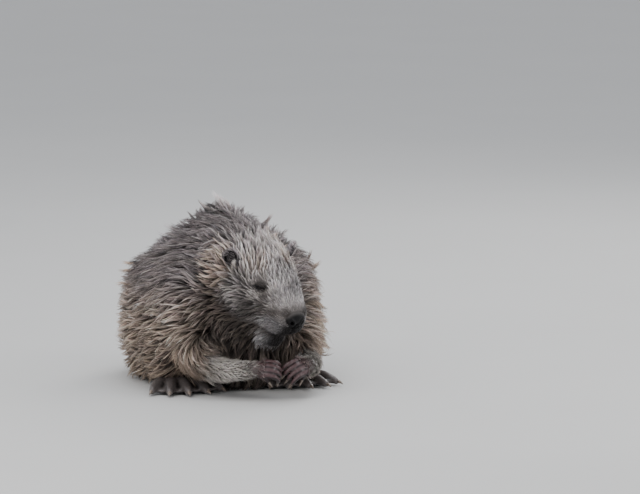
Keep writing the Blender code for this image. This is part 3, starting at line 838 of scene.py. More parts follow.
def coatTone(points):
    c = {name: np.array(value) for name, value in coatColours.items()}
    h, head = toHead(points), headShare(points)
    x, y, z = (points - planArray).T
    ragged = layered(points, raggedWaves)
    tone = marked(np.tile(c["back"], (len(points), 1)), bodyMarks, {
        "up": z, "back": y, "middle": np.abs(x + 0.008), "raggedSide": np.abs(x) + ragged,
        "raggedLeft": x + ragged, "raggedUp": z + ragged})
    face = faceTone(points, h)
    uneven = 0.75 + 0.4 * waves(points, 0.03, 8)
    for centre, reach, share in rustPatches:
        rust = np.clip(share * uneven * fade(gapTo(bothSides(h), centre), reach * 0.4, reach), 0, 1)
        face = mixed(face, c["rust"], rust)
        tone = mixed(tone, c["rust"], rust * (1 - head))
    for name in sideSigns:
        e = inEar(points, name)
        onEar = fade(np.linalg.norm(e / earSettings["outline"], axis=1), 1.00, 1.12)
        face = mixed(face, c["ear"] * (2.6 + 6.0 * ease(e[:, 2], 0.002, 0.014))[:, None], onEar)
    tone = mixed(tone, face, head)
    arm, place, _ = armShare(points)
    tone = mixed(tone, c["foreleg"], arm * ease(place + 0.2 * waves(points, 0.03, 54), 1.7, 2.7))
    tone = mixed(tone, c["hand"] * 1.6, 0.8 * arm * ease(place + 0.10 * waves(points, 0.008, 53), 3.72, 4.0))
    gain = layered(points, unevenWaves, 1)
    # painted light lifting the shade behind the cheek
    pale = fade(gapTo(points - planArray, paintedLightPatch["middle"]), *paintedLightPatch["reach"])
    gain += paintedLightPatch["gain"] * (1 - head) * pale
    return np.clip(tone * gain[:, None], 0.004, 0.9)


# one skin: body, hands, feet, ears and tail in one object
def skinJoined():
    parts = {"skin": skinObject, **bareParts}
    points, faces, kinds = [], [], []
    start = 0
    for number, obj in enumerate(parts.values()):
        mesh = obj.data
        mesh.calc_loop_triangles()
        corners = np.empty(len(mesh.loop_triangles) * 3, np.int32)
        mesh.loop_triangles.foreach_get("vertices", corners)
        points.append(pointsOf(mesh))
        faces.append(corners.reshape(-1, 3) + start)
        kinds.append(np.full(len(mesh.vertices), number))
        start += len(mesh.vertices)
        bpy.data.objects.remove(obj)
    mesh = triangleMesh("beaverSkin", np.vstack(points), np.vstack(faces))
    obj = linked("skin", mesh)
    bpy.context.view_layer.objects.active = obj
    obj.select_set(True)
    mesh.uv_layers.new(name="OFBake")
    bpy.ops.object.mode_set(mode="EDIT")
    bpy.ops.mesh.select_all(action="SELECT")
    bpy.ops.uv.smart_project(angle_limit=math.radians(66), island_margin=0.002, rotate_method="AXIS_ALIGNED")
    bpy.ops.object.mode_set(mode="OBJECT")
    obj.select_set(False)
    return obj, np.concatenate(kinds), list(parts)


tailSurface = bareParts["tail"].data.copy()
joinedSkin, skinKinds, skinNames = skinJoined()
print("one skin", len(joinedSkin.data.polygons), "triangles")


def hollowness(mesh):
    # above 0 in creases, as the bend of the surface over an edge's length, smoothed
    points, normals, edges = pointsOf(mesh), normalsOf(mesh), edgesOf(mesh)
    number = np.bincount(edges.ravel(), minlength=len(points)).clip(1)

    def around(values):
        return (np.bincount(edges[:, 0], values[edges[:, 1]], len(values))
                + np.bincount(edges[:, 1], values[edges[:, 0]], len(values))) / number

    step = np.linalg.norm(points[edges[:, 0]] - points[edges[:, 1]], axis=1).mean()
    bend = sum((around(points[:, k]) - points[:, k]) * normals[:, k] for k in range(3)) / step
    for _ in range(3):
        bend = (bend + around(bend)) / 2
    return bend * 3


skinLooks = {
    "underfur": 0.28,        # the skin's colour as a share of the coat's over it
    "shortHair": 0.46,       # added where the hair is short
    "wristFur": 0.25,
    "fingerGapShade": 0.75,       # painted shade between the fingers: how much darker
    # painted shade in creases and a painted highlight on ridges, for the bare parts
    "creaseShade": 0.85,
    "knuckle": 0.8,
    "earInside": 0.5,
    "lid": 2.0,
    "slit": (-0.0012, 0.0122, 0.0032),   # the lids' dark skin, reaching past the opening partly as painted shade: its middle's place along the eye, half length and half height
    "padGloss": 0.15,
}


def pastWrist(spots, side):
    # distance along the fingers and across the palm
    wrist, along, _, across = handFrame(side)
    return (spots - np.array(wrist)) @ np.array((along, across)).T


def wristEdge(spots):
    return 0.003 * waves(spots, 0.006, 51)


def skinMarked():
    mesh, looks = joinedSkin.data, skinLooks
    dark = np.array(coatColours["nose"])
    points = pointsOf(mesh)
    h = toHead(points)
    reach = 0.050 * ease(h[:, 2], -0.002, 0.014)
    short = headShare(points) * fade(h[:, 1], 0.025 + reach, 0.060 + reach)
    short *= 1 - 0.85 * ease(-h[:, 2], -0.002, 0.016)
    rim = fade(padDistance(h), 1.2, 1.6) * (h[:, 1] < 0.04)
    tone = coatTone(points) * (looks["underfur"] + looks["shortHair"] * short * (1 - 0.3 * rim))[:, None]
    body = skinKinds == 0
    bare = np.where(body, 0.0, 1.0)
    for number, name in enumerate(skinNames):
        here = skinKinds == number
        kind, _, side = name.partition("_")
        if kind in coatColours:
            tone[here] = coatColours[kind]
        if kind == "hand":
            ahead, across = pastWrist(points, side).T
            furred = fade(ahead + wristEdge(points), -0.006, 0.006) * here
            tone = mixed(tone, np.array(coatColours["foreleg"]) * looks["wristFur"], 0.8 * furred)
            # painted shade between the fingers
            gap = np.min([np.abs(across - place) for place in handSettings["places"]], axis=0)
            shadeBetweenFingers = ease(gap, 0.0018, 0.0038) * ease(ahead, 0.000, 0.010)
            tone = tone * (1 - looks["fingerGapShade"] * shadeBetweenFingers * here)[:, None]
        if kind == "ear":
            # the ear's opening: its own dark skin with painted shade in the hollow
            inside = ease(cupShare(points, side), 0.0, 0.5) * here
            tone = mixed(tone, dark * looks["earInside"], inside)
            bare = np.where(here, 0.0, bare)
    onNose = (h[:, 1] < 0.03) * body
    # the black pad fades out sooner on its top, which stays lighter as a painted sheen
    top = ease(h[:, 2], -0.006, 0.006)
    tone = mixed(tone, dark, fade(padDistance(h), 1.03 - 0.40 * top, 1.20) * onNose)
    pad = fade(padDistance(h), 0.98, 1.04) * onNose
    bare = np.maximum(bare, pad)
    middle, long, high = looks["slit"]
    for side in sideSigns:
        distance, r, _, ahead = lidDistance(points, side)
        centre, _, forward, up = eyeFrame(side)
        v = points - centre
        # the lids' own dark skin, stretched along the slit partly as painted shade round the eye
        slit = np.sqrt(((v @ forward - middle) / long) ** 2 + (v @ up / high) ** 2)
        lid = np.maximum(fade(distance, 0.10, 0.30), fade(slit, 0.7, 1.1))
        lid *= (r < 0.018) & (ahead > -0.2) & body
        tone = mixed(tone, dark * looks["lid"], lid)
        bare = np.maximum(bare, lid)
    bent = hollowness(mesh)
    # painted shade in the creases of the hands, feet, ears and tail
    tone = tone * (1 - looks["creaseShade"] * ease(bent, 0.0, 0.22) * ~body)[:, None]
    # painted highlight on the ridges of the bare parts
    tone = tone * (1 + looks["knuckle"] * ease(-bent, 0.10, 0.45) * ~body)[:, None]
    wetKinds = [i for i, name in enumerate(skinNames) if name.startswith(("hand", "foot"))]
    numbered(mesh, "wet", np.isin(skinKinds, wetKinds) * bare + looks["padGloss"] * pad)
    coloured(mesh, "tone", tone)
    numbered(mesh, "bare", bare)
    return bare


skinBare = skinMarked()

# the coat
coatSettings = {
    "seed": 11,
    "bodyPieces": ["shoulder", "side", "haunch"],   # front to back, on each side
    "normalSmoothing": 14,
    "sink": 0.0012,          # how far each root goes into the skin
    "lowest": 0.0006,
    "rootRise": 0.006,       # above the skin, where strands look for their lock
}


class SkinField:
    # nearest points and normals on the furred skin, or on the ears alone
    def __init__(self, ears=False):
        mesh = joinedSkin.data
        self.points, self.normals = pointsOf(mesh), normalsOf(mesh)
        corners = np.empty(len(mesh.polygons) * 3, np.int32)
        mesh.polygons.foreach_get("vertices", corners)
        self.faces = corners.reshape(-1, 3)
        uv = np.empty(len(mesh.loops) * 2, np.float32)
        mesh.uv_layers["OFBake"].uv.foreach_get("vector", uv)
        self.uv = uv.reshape(-1, 3, 2)
        middle = self.points[self.faces].mean(1)
        kinds = skinKinds[self.faces[:, 0]]
        self.furred = (kinds == 0) & (not ears)
        for number, name in enumerate(skinNames):
            kind, _, side = name.partition("_")
            if kind == "ear" and ears:
                self.furred |= kinds == number
            if kind == "hand" and not ears:
                self.furred |= (kinds == number) & (pastWrist(middle, side)[:, 0] < handSettings["furredTo"])
        self.smooth = self.normals.copy()
        edges = edgesOf(mesh)
        for _ in range(coatSettings["normalSmoothing"]):
            total = self.smooth.copy()
            for k in range(3):
                total[:, k] += np.bincount(edges[:, 0], self.smooth[edges[:, 1], k], len(total))
                total[:, k] += np.bincount(edges[:, 1], self.smooth[edges[:, 0], k], len(total))
            self.smooth = unit(total)
        self.kept = np.flatnonzero(self.furred)
        self.tree = BVHTree.FromPolygons(self.points.tolist(), self.faces[self.kept].tolist())

    def nearest(self, spots):
        found = np.empty_like(spots)
        normals = np.empty_like(spots)
        for i, spot in enumerate(spots):
            place, _, index, _ = self.tree.find_nearest(spot)
            found[i] = place
            normals[i] = self.smooth[self.faces[self.kept[index]][0]]
        return found, normals


flowSettings = {
    "heights": [0.03, 0.08, 0.14, 0.20, 0.27],
    "drops": [0.00, 0.06, 0.25, 0.75, 0.95],
    "faceSource": (0, -0.030, -0.010),   # on the head: the hair leads away from these two
    "neckSource": (0, 0.085, -0.016),
    "ruff": (0.097, -0.025, 0.200),      # where the neck's hair hangs straight down, from the plan's midline
    "midline": 0.012,
    "ruffReach": 0.050,
    "ruffDrop": 1.5,
    "armDrop": 0.45,
    "browPart": 0.62,
    "cheekDrop": 0.95,
    "lipDrop": 1.6,
    "backward": 0.30,     # added to the body's way
    "leastDrop": 0.10,
    "headDrop": 0.08,
    "dropFrom": (0.070, 0.150),   # how far from the neck the drop sets in
    "turns": ((16, 0.085, 21), (9, 0.030, 22)),   # degrees, over what length, seed
    "headCalm": 0.6,
}


def flowWay(points, normals):
    # which way the hair lies: back from the nose over the head, then out over the body and down its sides
    flow, head = flowSettings, headShare(points)
    faceSource, neckSource = np.array(onHead(*flow["faceSource"])), np.array(onHead(*flow["neckSource"]))
    way = mixed(unit(points - neckSource), unit(points - faceSource), head)
    way += (1 - head)[:, None] * np.array([0, flow["backward"], 0])
    far = ease(gapTo(points, neckSource), *flow["dropFrom"])
    drop, least = np.interp(points[:, 2], flow["heights"], flow["drops"]), flow["leastDrop"]
    way[:, 2] -= (least + (drop - least) * far) * (1 - head) + flow["headDrop"] * head
    p = points - planArray
    p[:, 0] = np.abs(p[:, 0] - flow["midline"])
    way[:, 2] -= flow["ruffDrop"] * bulge(gapTo(p, flow["ruff"]), flow["ruffReach"]) * (1 - head)
    h = toHead(points)
    side, back, up = h.T
    cheek = head * ease(-up, -0.002, 0.026) * ease(back, 0.022, 0.050) * fade(back, 0.13, 0.17)
    brow = head * ease(up, -0.004, 0.014) * ease(back, 0.068, 0.090) * ease(np.abs(side), 0.004, 0.016)
    lean = np.zeros_like(points)
    lean[:, 0] = -flow["browPart"] * np.sign(side) * brow
    lean[:, 2] = -flow["cheekDrop"] * cheek - flow["lipDrop"] * lipShare(h) * head
    way = unit(way + lean @ headMatrix.T)
    arm, _, along = armShare(points)
    way = unit(mixed(way, along + np.array([0, 0, -flow["armDrop"]]), arm))
    way = unit(way - normals * (way * normals).sum(1)[:, None])
    turn = np.radians(layered(points, flow["turns"]))
    return turned(way, normals, turn * (1 - flow["headCalm"] * head))


def turned(way, normals, angle):
    return way * np.cos(angle)[:, None] + np.cross(normals, way) * np.sin(angle)[:, None]


lengthSettings = {
    "body": 0.037,
    "uneven": 0.005,
    "faceBack": [0.0, 0.02, 0.05, 0.09, 0.13, 0.17],
    "face": [0.0044, 0.0066, 0.0112, 0.0190, 0.028, 0.034],
    "cheek": 0.011,       # added below the cheek
    "lip": 0.013,
    "chin": 0.0190,
    "nearEye": 0.55,      # how much shorter
    "padFringe": 0.0022,
    "arm": [0.037, 0.034, 0.025, 0.013, 0.0048],
    "tailRoot": 0.014,
    "nearFloor": 0.6,
}


def strandLength(points):
    h, lengths = toHead(points), lengthSettings
    _, back, up = h.T
    length = lengths["body"] + lengths["uneven"] * waves(points, 0.05, 31)
    face = np.interp(back, lengths["faceBack"], lengths["face"])
    face += lengths["cheek"] * ease(-up, 0.004, 0.030) * ease(back, 0.030, 0.055) * fade(back, 0.10, 0.15)
    face = mixed(face, np.full_like(face, lengths["lip"]), lipShare(h))
    face = mixed(face, np.full_like(face, lengths["chin"]), chinShare(h))
    face *= 1 - lengths["nearEye"] * eyeNear(points)
    face += lengths["padFringe"] * fade(padDistance(h), 1.0, 1.7) * ease(up, -0.012, 0.000)
    length = mixed(length, face, headShare(points))
    arm, place, _ = armShare(points)
    length = mixed(length, np.interp(place, armPlaces, lengths["arm"]), arm)
    atTail = fade(gapTo(points, tailRoot), 0.04, 0.08)
    length = mixed(length, np.full_like(length, lengths["tailRoot"]), atTail)
    low = fade(points[:, 2], 0.010, 0.050)
    return length * mixed(np.ones(len(length)), np.full(len(length), lengths["nearFloor"]), low)


def rootsOn(field, rng, count, weights):
    tri = field.points[field.faces]
    area = np.linalg.norm(np.cross(tri[:, 1] - tri[:, 0], tri[:, 2] - tri[:, 0]), axis=1) / 2
    share = area * weights
    pick = rng.choice(len(share), count, p=share / share.sum())
    a, b = rng.random((2, count))
    over = a + b > 1
    a[over], b[over] = 1 - a[over], 1 - b[over]
    bary = np.stack([1 - a - b, a, b], axis=1)
    corners = field.faces[pick]

    def blended(values):
        return (values * bary[:, :, None]).sum(1)

    return blended(field.points[corners]), unit(blended(field.smooth[corners])), blended(field.uv[pick])


def thinned(points, spacing, rng):
    # keeps points no nearer to each other than their spacing
    tree = kdOf(points)
    kept, gone = [], np.zeros(len(points), bool)
    for i in rng.permutation(len(points)):
        if gone[i]:
            continue
        kept.append(i)
        for _, j, _ in tree.find_range(points[i], spacing[i]):
            gone[j] = True
    return np.array(kept)


def lockGuides(field, rng, roots, normals, lengths, settings):
    # each lock's middle line over the skin, with its own turn, curl and lift
    count, steps = len(roots), settings["steps"]
    turn = np.radians(rng.normal(0, settings["turn"], count))
    bend = np.radians(rng.normal(0, settings["bend"], count))
    spots, places, risers = [roots], roots.copy(), [normals]
    ways = []
    here = normals
    for k in range(steps):
        ways.append(turned(flowWay(places, here), here, turn + bend * (k / steps - 0.3)))
        places, here = field.nearest(places + ways[-1] * (lengths / steps)[:, None])
        here = unit(here + 0.5 * risers[-1])
        spots.append(places.copy())
        risers.append(here)
    ways.append(ways[-1])
    return np.stack(spots, 1), np.stack(risers, 1), np.stack(ways, 1)


def sampled(values, t):
    # values (n, k, 3) read at shares t (n, m) of their length
    last = values.shape[1] - 1
    at = np.clip(t * last, 0, last - 1e-6)
    low = at.astype(int)
    part = (at - low)[..., None]
    rows = np.arange(len(values))[:, None]
    return values[rows, low] * (1 - part) + values[rows, low + 1] * part


# how much locks and their strands differ: middle, spread and limits of each random share
lockVariety = {
    "gather": (0.06, 0.3, 0.98),
    "lift": (0.26, 0.45, 1.7),
    "spikes": (0.3, 0.7),
    "strandLift": 0.12,
    "lockLength": 0.13,
    "strandLength": (0.96, 0.12),
    "lengthLimits": (0.5, 1.35),
    "curl": (0.3, 1.3),
    "curlTurns": 5.2,       # radians from root to tip
    "chinRise": 0.013,
    "fluff": 0.35,
    "width": (0.75, 1.25),
}


def coatStrands(field, rng, weights, settings):
    # one part of the coat: where its strands run, and their widths, tones and places on the map
    vary, count, rings = lockVariety, settings["strands"], len(settings["taper"])
    roots, normals, uvs = rootsOn(field, rng, count, weights)
    centres = thinned(roots, settings["spacing"](roots), rng)
    lengths = settings.get("length", strandLength)(roots[centres])
    guides, risers, ways = lockGuides(field, rng, roots[centres], normals[centres], lengths, settings)
    raised = roots + normals * coatSettings["rootRise"]
    tree = kdOf(raised[centres])
    lock = np.array([tree.find(p)[1] for p in raised])
    locks = len(centres)
    spread, least, most = vary["gather"]
    gather = np.clip(rng.normal(settings["gather"], spread, locks), least, most)[lock]
    spread, least, most = vary["lift"]
    lift = np.clip(rng.normal(settings["lift"], spread, locks), least, most)
    spiky = rng.random(locks) < settings["spiky"]
    lift[spiky] += rng.uniform(*vary["spikes"], spiky.sum())
    lift = lift[lock] * rng.normal(1, vary["strandLift"], count)
    reach = rng.normal(1, vary["lockLength"], locks)[lock] * rng.normal(*vary["strandLength"], count)
    reach = np.clip(reach, *vary["lengthLimits"])
    shares = np.linspace(0, 1, rings + 1)
    t = shares[None, :] * reach[:, None]
    spots = sampled(guides[lock], np.minimum(t, 0.999))
    spots += (np.maximum(t - 0.999, 0) * lengths[lock][:, None])[..., None] * ways[lock][:, -1][:, None]
    up, way = unit(sampled(risers[lock], t)), unit(sampled(ways[lock], t))
    side = unit(np.cross(up, way))
    offset = roots - roots[centres][lock]
    pull = ease(shares, 0.06, 0.85)[None, :] * gather[:, None]
    spots += offset[:, None] * (1 - pull)[..., None]
    wave = rng.uniform(0, math.tau, locks)[lock][:, None]
    curl = settings["curl"] * rng.uniform(*vary["curl"], locks)[lock][:, None]
    sway = np.sin(wave + shares * vary["curlTurns"]) * shares
    spots += side * (curl * lengths[lock][:, None] * sway)[..., None]
    depth = settings.get("depth", coatDepth)(roots) + vary["chinRise"] * chinShare(toHead(roots))
    rise = depth[:, None] * lift[:, None] * (1 - (1 - shares) ** 1.7)
    rise += depth[:, None] * vary["fluff"] * np.abs(rng.normal(0, 0.5, count))[:, None] * shares
    spots += up * (rise - coatSettings["sink"] * (1 - shares))[..., None]
    frizz = (settings["frizz"] * lengths[lock])[:, None, None]
    spots += rng.normal(0, 1, spots.shape) * frizz * shares[None, :, None]
    spots[..., 2] = np.maximum(spots[..., 2], coatSettings["lowest"])
    width = settings["width"](roots) * rng.uniform(*vary["width"], count)
    strands = {"spots": spots, "up": up, "width": width, "uv": uvs, "roots": roots, "lock": lock}
    strands["tones"] = strandTones(strands, rng, locks, shares, *settings["shades"])
    strands["taper"] = settings["taper"]
    print(settings["name"], "locks", locks)
    return strands


# how much the strands' colours differ: spread and limits for locks and for single strands
toneVariety = {
    "lock": (0.22, 0.5, 1.6),
    "strand": (0.24, 0.45, 1.7),
    "hue": 0.035,
    "pale": 1.6,         # how much lighter the pale strands are, and what is added to them; the pale strands are partly painted highlights along the locks
    "paleAdded": 0.07,
    "smoothFace": 0.75,  # how much less the root and tip differ on the muzzle and the far flank
}


def strandTones(strands, rng, locks, shares, darkRootAndGapShade, lightTipAndSheen, paleShare, vary):
    roots = strands["roots"]
    count = len(roots)
    tone = coatTone(roots)
    spread, least, most = toneVariety["lock"]
    tone *= np.clip(rng.normal(1, spread * vary, locks), least, most)[strands["lock"]][:, None]
    spread, least, most = toneVariety["strand"]
    tone *= np.clip(rng.normal(1, spread * vary, count), least, most)[:, None]
    tone *= 1 + rng.normal(0, toneVariety["hue"], (count, 3))
    # pale strands: partly pale hairs, partly painted highlights along the locks
    pale = rng.random(count) < paleShare
    added = toneVariety["paleAdded"] * ease(tone[pale].mean(1), 0.05, 0.2)
    tone[pale] = tone[pale] * toneVariety["pale"] + added[:, None]
    # darker roots are partly painted shade in the gaps between locks, lighter tips partly a painted sheen
    shades = [darkRootAndGapShade, darkRootAndGapShade * 1.4, 0.85, lightTipAndSheen, lightTipAndSheen * 1.1]
    shade = np.interp(shares, [0, 0.25, 0.6, 0.85, 1], shades)
    _, back, up = toHead(roots).T
    smooth = headShare(roots) * fade(back, 0.030, 0.085) * (1 - 0.8 * ease(-up, -0.002, 0.016))
    smooth = np.maximum(smooth, 0.90 * ease(roots[:, 0] - planOrigin[0], 0.080, 0.115))
    shade = 1 + (shade[None, :] - 1) * (1 - toneVariety["smoothFace"] * smooth)[:, None]
    return np.clip(tone[:, None] * shade[..., None], 0.003, 0.95)


strandSettings = {"thickness": 0.75, "patch": (0.0014, 0.003), "lowest": 0.0004}


def strandMesh(name, strands, chosen=slice(None)):
    # three-sided tapered tubes, each a small patch on the map at its root's place
    spots, up, width = (strands[key][chosen] for key in ("spots", "up", "width"))
    uvRoot, tones = strands["uv"][chosen], strands["tones"][chosen]
    count, last = len(spots), spots.shape[1] - 1
    half = width[:, None] * np.array(strands["taper"]) / 2
    along = np.empty_like(spots)
    along[:, 1:-1] = spots[:, 2:] - spots[:, :-2]
    along[:, 0], along[:, -1] = spots[:, 1] - spots[:, 0], spots[:, -1] - spots[:, -2]
    along = unit(along)
    across = unit(np.cross(up, along))
    over = unit(np.cross(along, across))
    corners = 3 * last + 1
    points = np.empty((count, corners, 3))
    for k in range(last):
        reach = half[:, k, None]
        points[:, 3 * k] = spots[:, k] + across[:, k] * reach
        points[:, 3 * k + 1] = spots[:, k] + over[:, k] * reach * strandSettings["thickness"]
        points[:, 3 * k + 2] = spots[:, k] - across[:, k] * reach
    points[:, -1] = spots[:, -1]
    points[..., 2] = np.maximum(points[..., 2], strandSettings["lowest"])
    pattern = [(0, 1, 2)]
    for k in range(last - 1):
        for j in range(3):
            a, b = 3 * k + j, 3 * k + (j + 1) % 3
            pattern += [(a, a + 3, b + 3), (a, b + 3, b)]
    tip = corners - 1
    pattern += [(3 * (last - 1) + j, tip, 3 * (last - 1) + (j + 1) % 3) for j in range(3)]
    triangles = (np.array(pattern)[None] + np.arange(count)[:, None, None] * corners).reshape(-1, 3)
    wide, long = strandSettings["patch"]
    patch = np.zeros((corners, 2))
    for k in range(last):
        for j in range(3):
            patch[3 * k + j] = ((j - 1) * wide, (k / last - 0.5) * long)
    patch[-1] = (0, long / 2)
    uv = (uvRoot[:, None] + patch[None]).reshape(-1, 2)
    mesh = triangleMesh(name, points.reshape(-1, 3), triangles, uv)
    tones = np.concatenate([np.repeat(tones[:, :last], 3, axis=1), tones[:, last:]], axis=1)
    coloured(mesh, "tone", tones.reshape(-1, 3))
    return linked(name, mesh)


# where the coat is made thicker: place from the plan's origin, reach, gain
thinPlaces = [
    ((-0.060, -0.131, 0.090), 0.034, 1.1),
    ((-0.028, -0.199, 0.168), 0.024, 1.0),
    ((0.000, 0.030, 0.262), 0.036, 0.8),
    ((0.000, -0.060, 0.250), 0.050, 0.4),
]


closeness = {
    # how close the strands stand, by distance back from the nose tip
    "near": ([0, 0.02, 0.05, 0.08], [2.2, 1.6, 1.0, 0.9]),
    "far": ([0.04, 0.09, 0.15], [1.5, 1.1, 0.9]),
    "pad": 2.6,
    "eyes": 3.5,
    "wrist": 1.5,
    "handReach": 0.030,
    "wristEdge": (-0.0180, -0.0130),   # where the hand's own hair starts, along the fingers
    "muzzle": (0.050, 0.075),
    "lids": (0.10, 0.016),   # no hair nearer than this to the opening of the lids and the eye's middle
    "under": 0.93,   # how much of the coat is left out where the body lies on the floor
    "underEdge": (0.003, 0.012),
}


def regionWeights(field):
    middle = field.points[field.faces].mean(1)
    bare = skinBare[field.faces].max(1)
    wrist = field.furred & (skinKinds[field.faces[:, 0]] != 0)
    ok = field.furred & ((bare < 0.5) | wrist)
    head = headShare(middle)
    arm, place, _ = armShare(middle)
    past = np.full(len(middle), 1.0)
    for side in sideSigns:
        start, along, _, _ = (np.array(v) for v in handFrame(side))
        beyond = (middle - start) @ along
        edge = fade(beyond + wristEdge(middle), -0.004, handSettings["furredTo"])
        here = gapTo(middle, start) < closeness["handReach"]
        past = np.where(here, edge * ease(beyond, *closeness["wristEdge"]), past)
    arm = np.where(wrist, past, arm * (1 - 0.25 * ease(place, 3.6, 4.0)))
    normals = field.normals[field.faces].mean(1)
    under = fade(middle[:, 2], *closeness["underEdge"]) * (normals[:, 2] < -0.5)
    onHeadNow = head * ok
    onArm = arm * (1 - head) * ok * np.where(wrist, closeness["wrist"], 1.0)
    onBody = (1 - head) * (1 - arm) * ok * (1 - closeness["under"] * under)
    h = toHead(middle)
    near = fade(h[:, 1] + 0.6 * np.maximum(-h[:, 2], 0), *closeness["muzzle"])
    opening, reach = closeness["lids"]
    for side in sideSigns:
        distance, r, _, ahead = lidDistance(middle, side)
        onHeadNow *= np.where((distance < opening) & (r < reach) & (ahead > 0), 0, 1)
    onHeadNow *= 1 + closeness["eyes"] * eyeNear(middle)
    for place, reach, gain in thinPlaces:
        close = fade(gapTo(middle - planArray, place), reach * 0.5, reach)
        onBody *= 1 + gain * close
        onHeadNow *= 1 + gain * close
    closeNear = np.interp(h[:, 1], *closeness["near"])
    closeNear *= 1 + closeness["pad"] * fade(padDistance(h), 1.05, 1.5)
    closeFar = np.interp(h[:, 1], *closeness["far"])
    return onBody, onHeadNow * (1 - near) * closeFar, onHeadNow * near * closeNear, onArm


def evenly(value):
    return lambda p: np.full(len(p), value)


def byBack(backs, values, nearEye):
    # a size that follows the distance back from the nose tip, and is less near the eyes
    return lambda p: np.interp(toHead(p)[:, 1], backs, values) * (1 - nearEye * eyeNear(p))


# turn and bend are in degrees, spacing and width in metres, and spiky is the share of locks that stand up
# taper: the width at each ring from the root, as a share of the full width, before the point
# shades: the dark root, partly painted shade of the gaps between locks, the light tip, partly a painted
# sheen, the share of pale strands, and how much tones vary
bodyStyle = {
    "name": "body", "strands": 39600, "steps": 6, "turn": 12, "bend": 19, "lift": 0.64, "spiky": 0.006,
    "curl": 0.045, "frizz": 0.010, "gather": 0.90,
    "taper": [1.0, 1.0, 0.85, 0.52],
    "shades": (0.23, 1.42, 0.15, 1.25),
    "spacing": lambda p: 0.0063 + 0.0011 * waves(p, 0.04, 41),
    "width": evenly(0.00118),
}
headStyle = {
    "name": "head", "strands": 14200, "steps": 4, "turn": 9, "bend": 16, "lift": 0.85, "spiky": 0.03,
    "curl": 0.045, "frizz": 0.012, "gather": 0.86,
    "taper": [1.0, 0.95, 0.62],
    "shades": (0.19, 1.42, 0.13, 1.0),
    "spacing": byBack([0.0, 0.03, 0.06, 0.10, 0.15], [0.0015, 0.0023, 0.0034, 0.0046, 0.0060], 0.55),
    "width": byBack([0.0, 0.03, 0.08, 0.14], [0.00046, 0.00060, 0.00088, 0.00115], 0.35),
}
faceStyle = {
    **headStyle, "name": "face", "strands": 15000, "lift": 0.95, "steps": 3, "gather": 0.60,
    "taper": [1.0, 0.8],
    "shades": (0.45, 1.25, 0.08, 1.0),
}
armStyle = {
    "name": "arm", "strands": 11000, "steps": 4, "turn": 7, "bend": 9, "lift": 0.46, "spiky": 0.0,
    "curl": 0.03, "frizz": 0.012, "gather": 0.62,
    "taper": [1.0, 0.95, 0.6],
    "shades": (0.65, 1.10, 0.06, 0.7),
    "spacing": lambda p: np.interp(armShare(p)[1], [2.0, 3.2], [0.0042, 0.0030]),
    "width": evenly(0.00078),
}
earStyle = {
    "name": "ear", "strands": 2800, "steps": 3, "turn": 14, "bend": 10, "lift": 1.0, "spiky": 0.06,
    "curl": 0.04, "frizz": 0.02, "gather": 0.7,
    "taper": [1.0, 0.95, 0.6],
    "shades": (0.5, 1.3, 0.05, 1.0),
    "spacing": evenly(0.0018), "width": evenly(0.00050), "length": evenly(0.0080), "depth": evenly(0.0020),
}

field = SkinField()
bodyWeight, headWeight, faceWeight, armWeight = regionWeights(field)
furPieces = []
rng = np.random.default_rng(coatSettings["seed"])

def cutInto(strands, name, across, back, pieces):
    # each side's strands as pieces, from front to back
    for sideName, sign in sideSigns.items():
        own = np.flatnonzero(across * sign > 0)
        own = own[np.argsort(back[own])]
        for piece, part in zip(pieces, np.array_split(own, len(pieces))):
            furPieces.append(strandMesh(name.format(side=sideName, piece=piece), strands, part))


body = coatStrands(field, rng, bodyWeight, bodyStyle)
across, back, _ = (body["roots"] - planArray).T
cutInto(body, "coat_{side}_{piece}", across - flowSettings["midline"], back, coatSettings["bodyPieces"])
head = coatStrands(field, rng, headWeight, headStyle)
across, back, _ = toHead(head["roots"]).T
cutInto(head, "coat_head_{side}", across, back, [""])
furPieces.append(strandMesh("coat_head_muzzle", coatStrands(field, rng, faceWeight, faceStyle)))
furPieces.append(strandMesh("coat_forearms", coatStrands(field, rng, armWeight, armStyle)))


earHair = {
    "front": (0.000, 0.004),   # how far the front goes back
    "inside": (0.80, 0.98),    # bare inside this part of the opening
    "rim": (0.90, 1.02),
    "rimGain": 2.5,
}


def earWeights(earField):
    middle = earField.points[earField.faces].mean(1)
    weights = earField.furred * 1.0
    for side in sideSigns:
        e = inEar(middle, side)
        away = cupDistance(e)
        front = fade(e[:, 1], *earHair["front"]) * (np.abs(e).max(1) < 0.04)
        weights *= 1 - front * fade(away, *earHair["inside"])
        weights *= 1 + earHair["rimGain"] * front * ease(away, *earHair["rim"])
    return weights


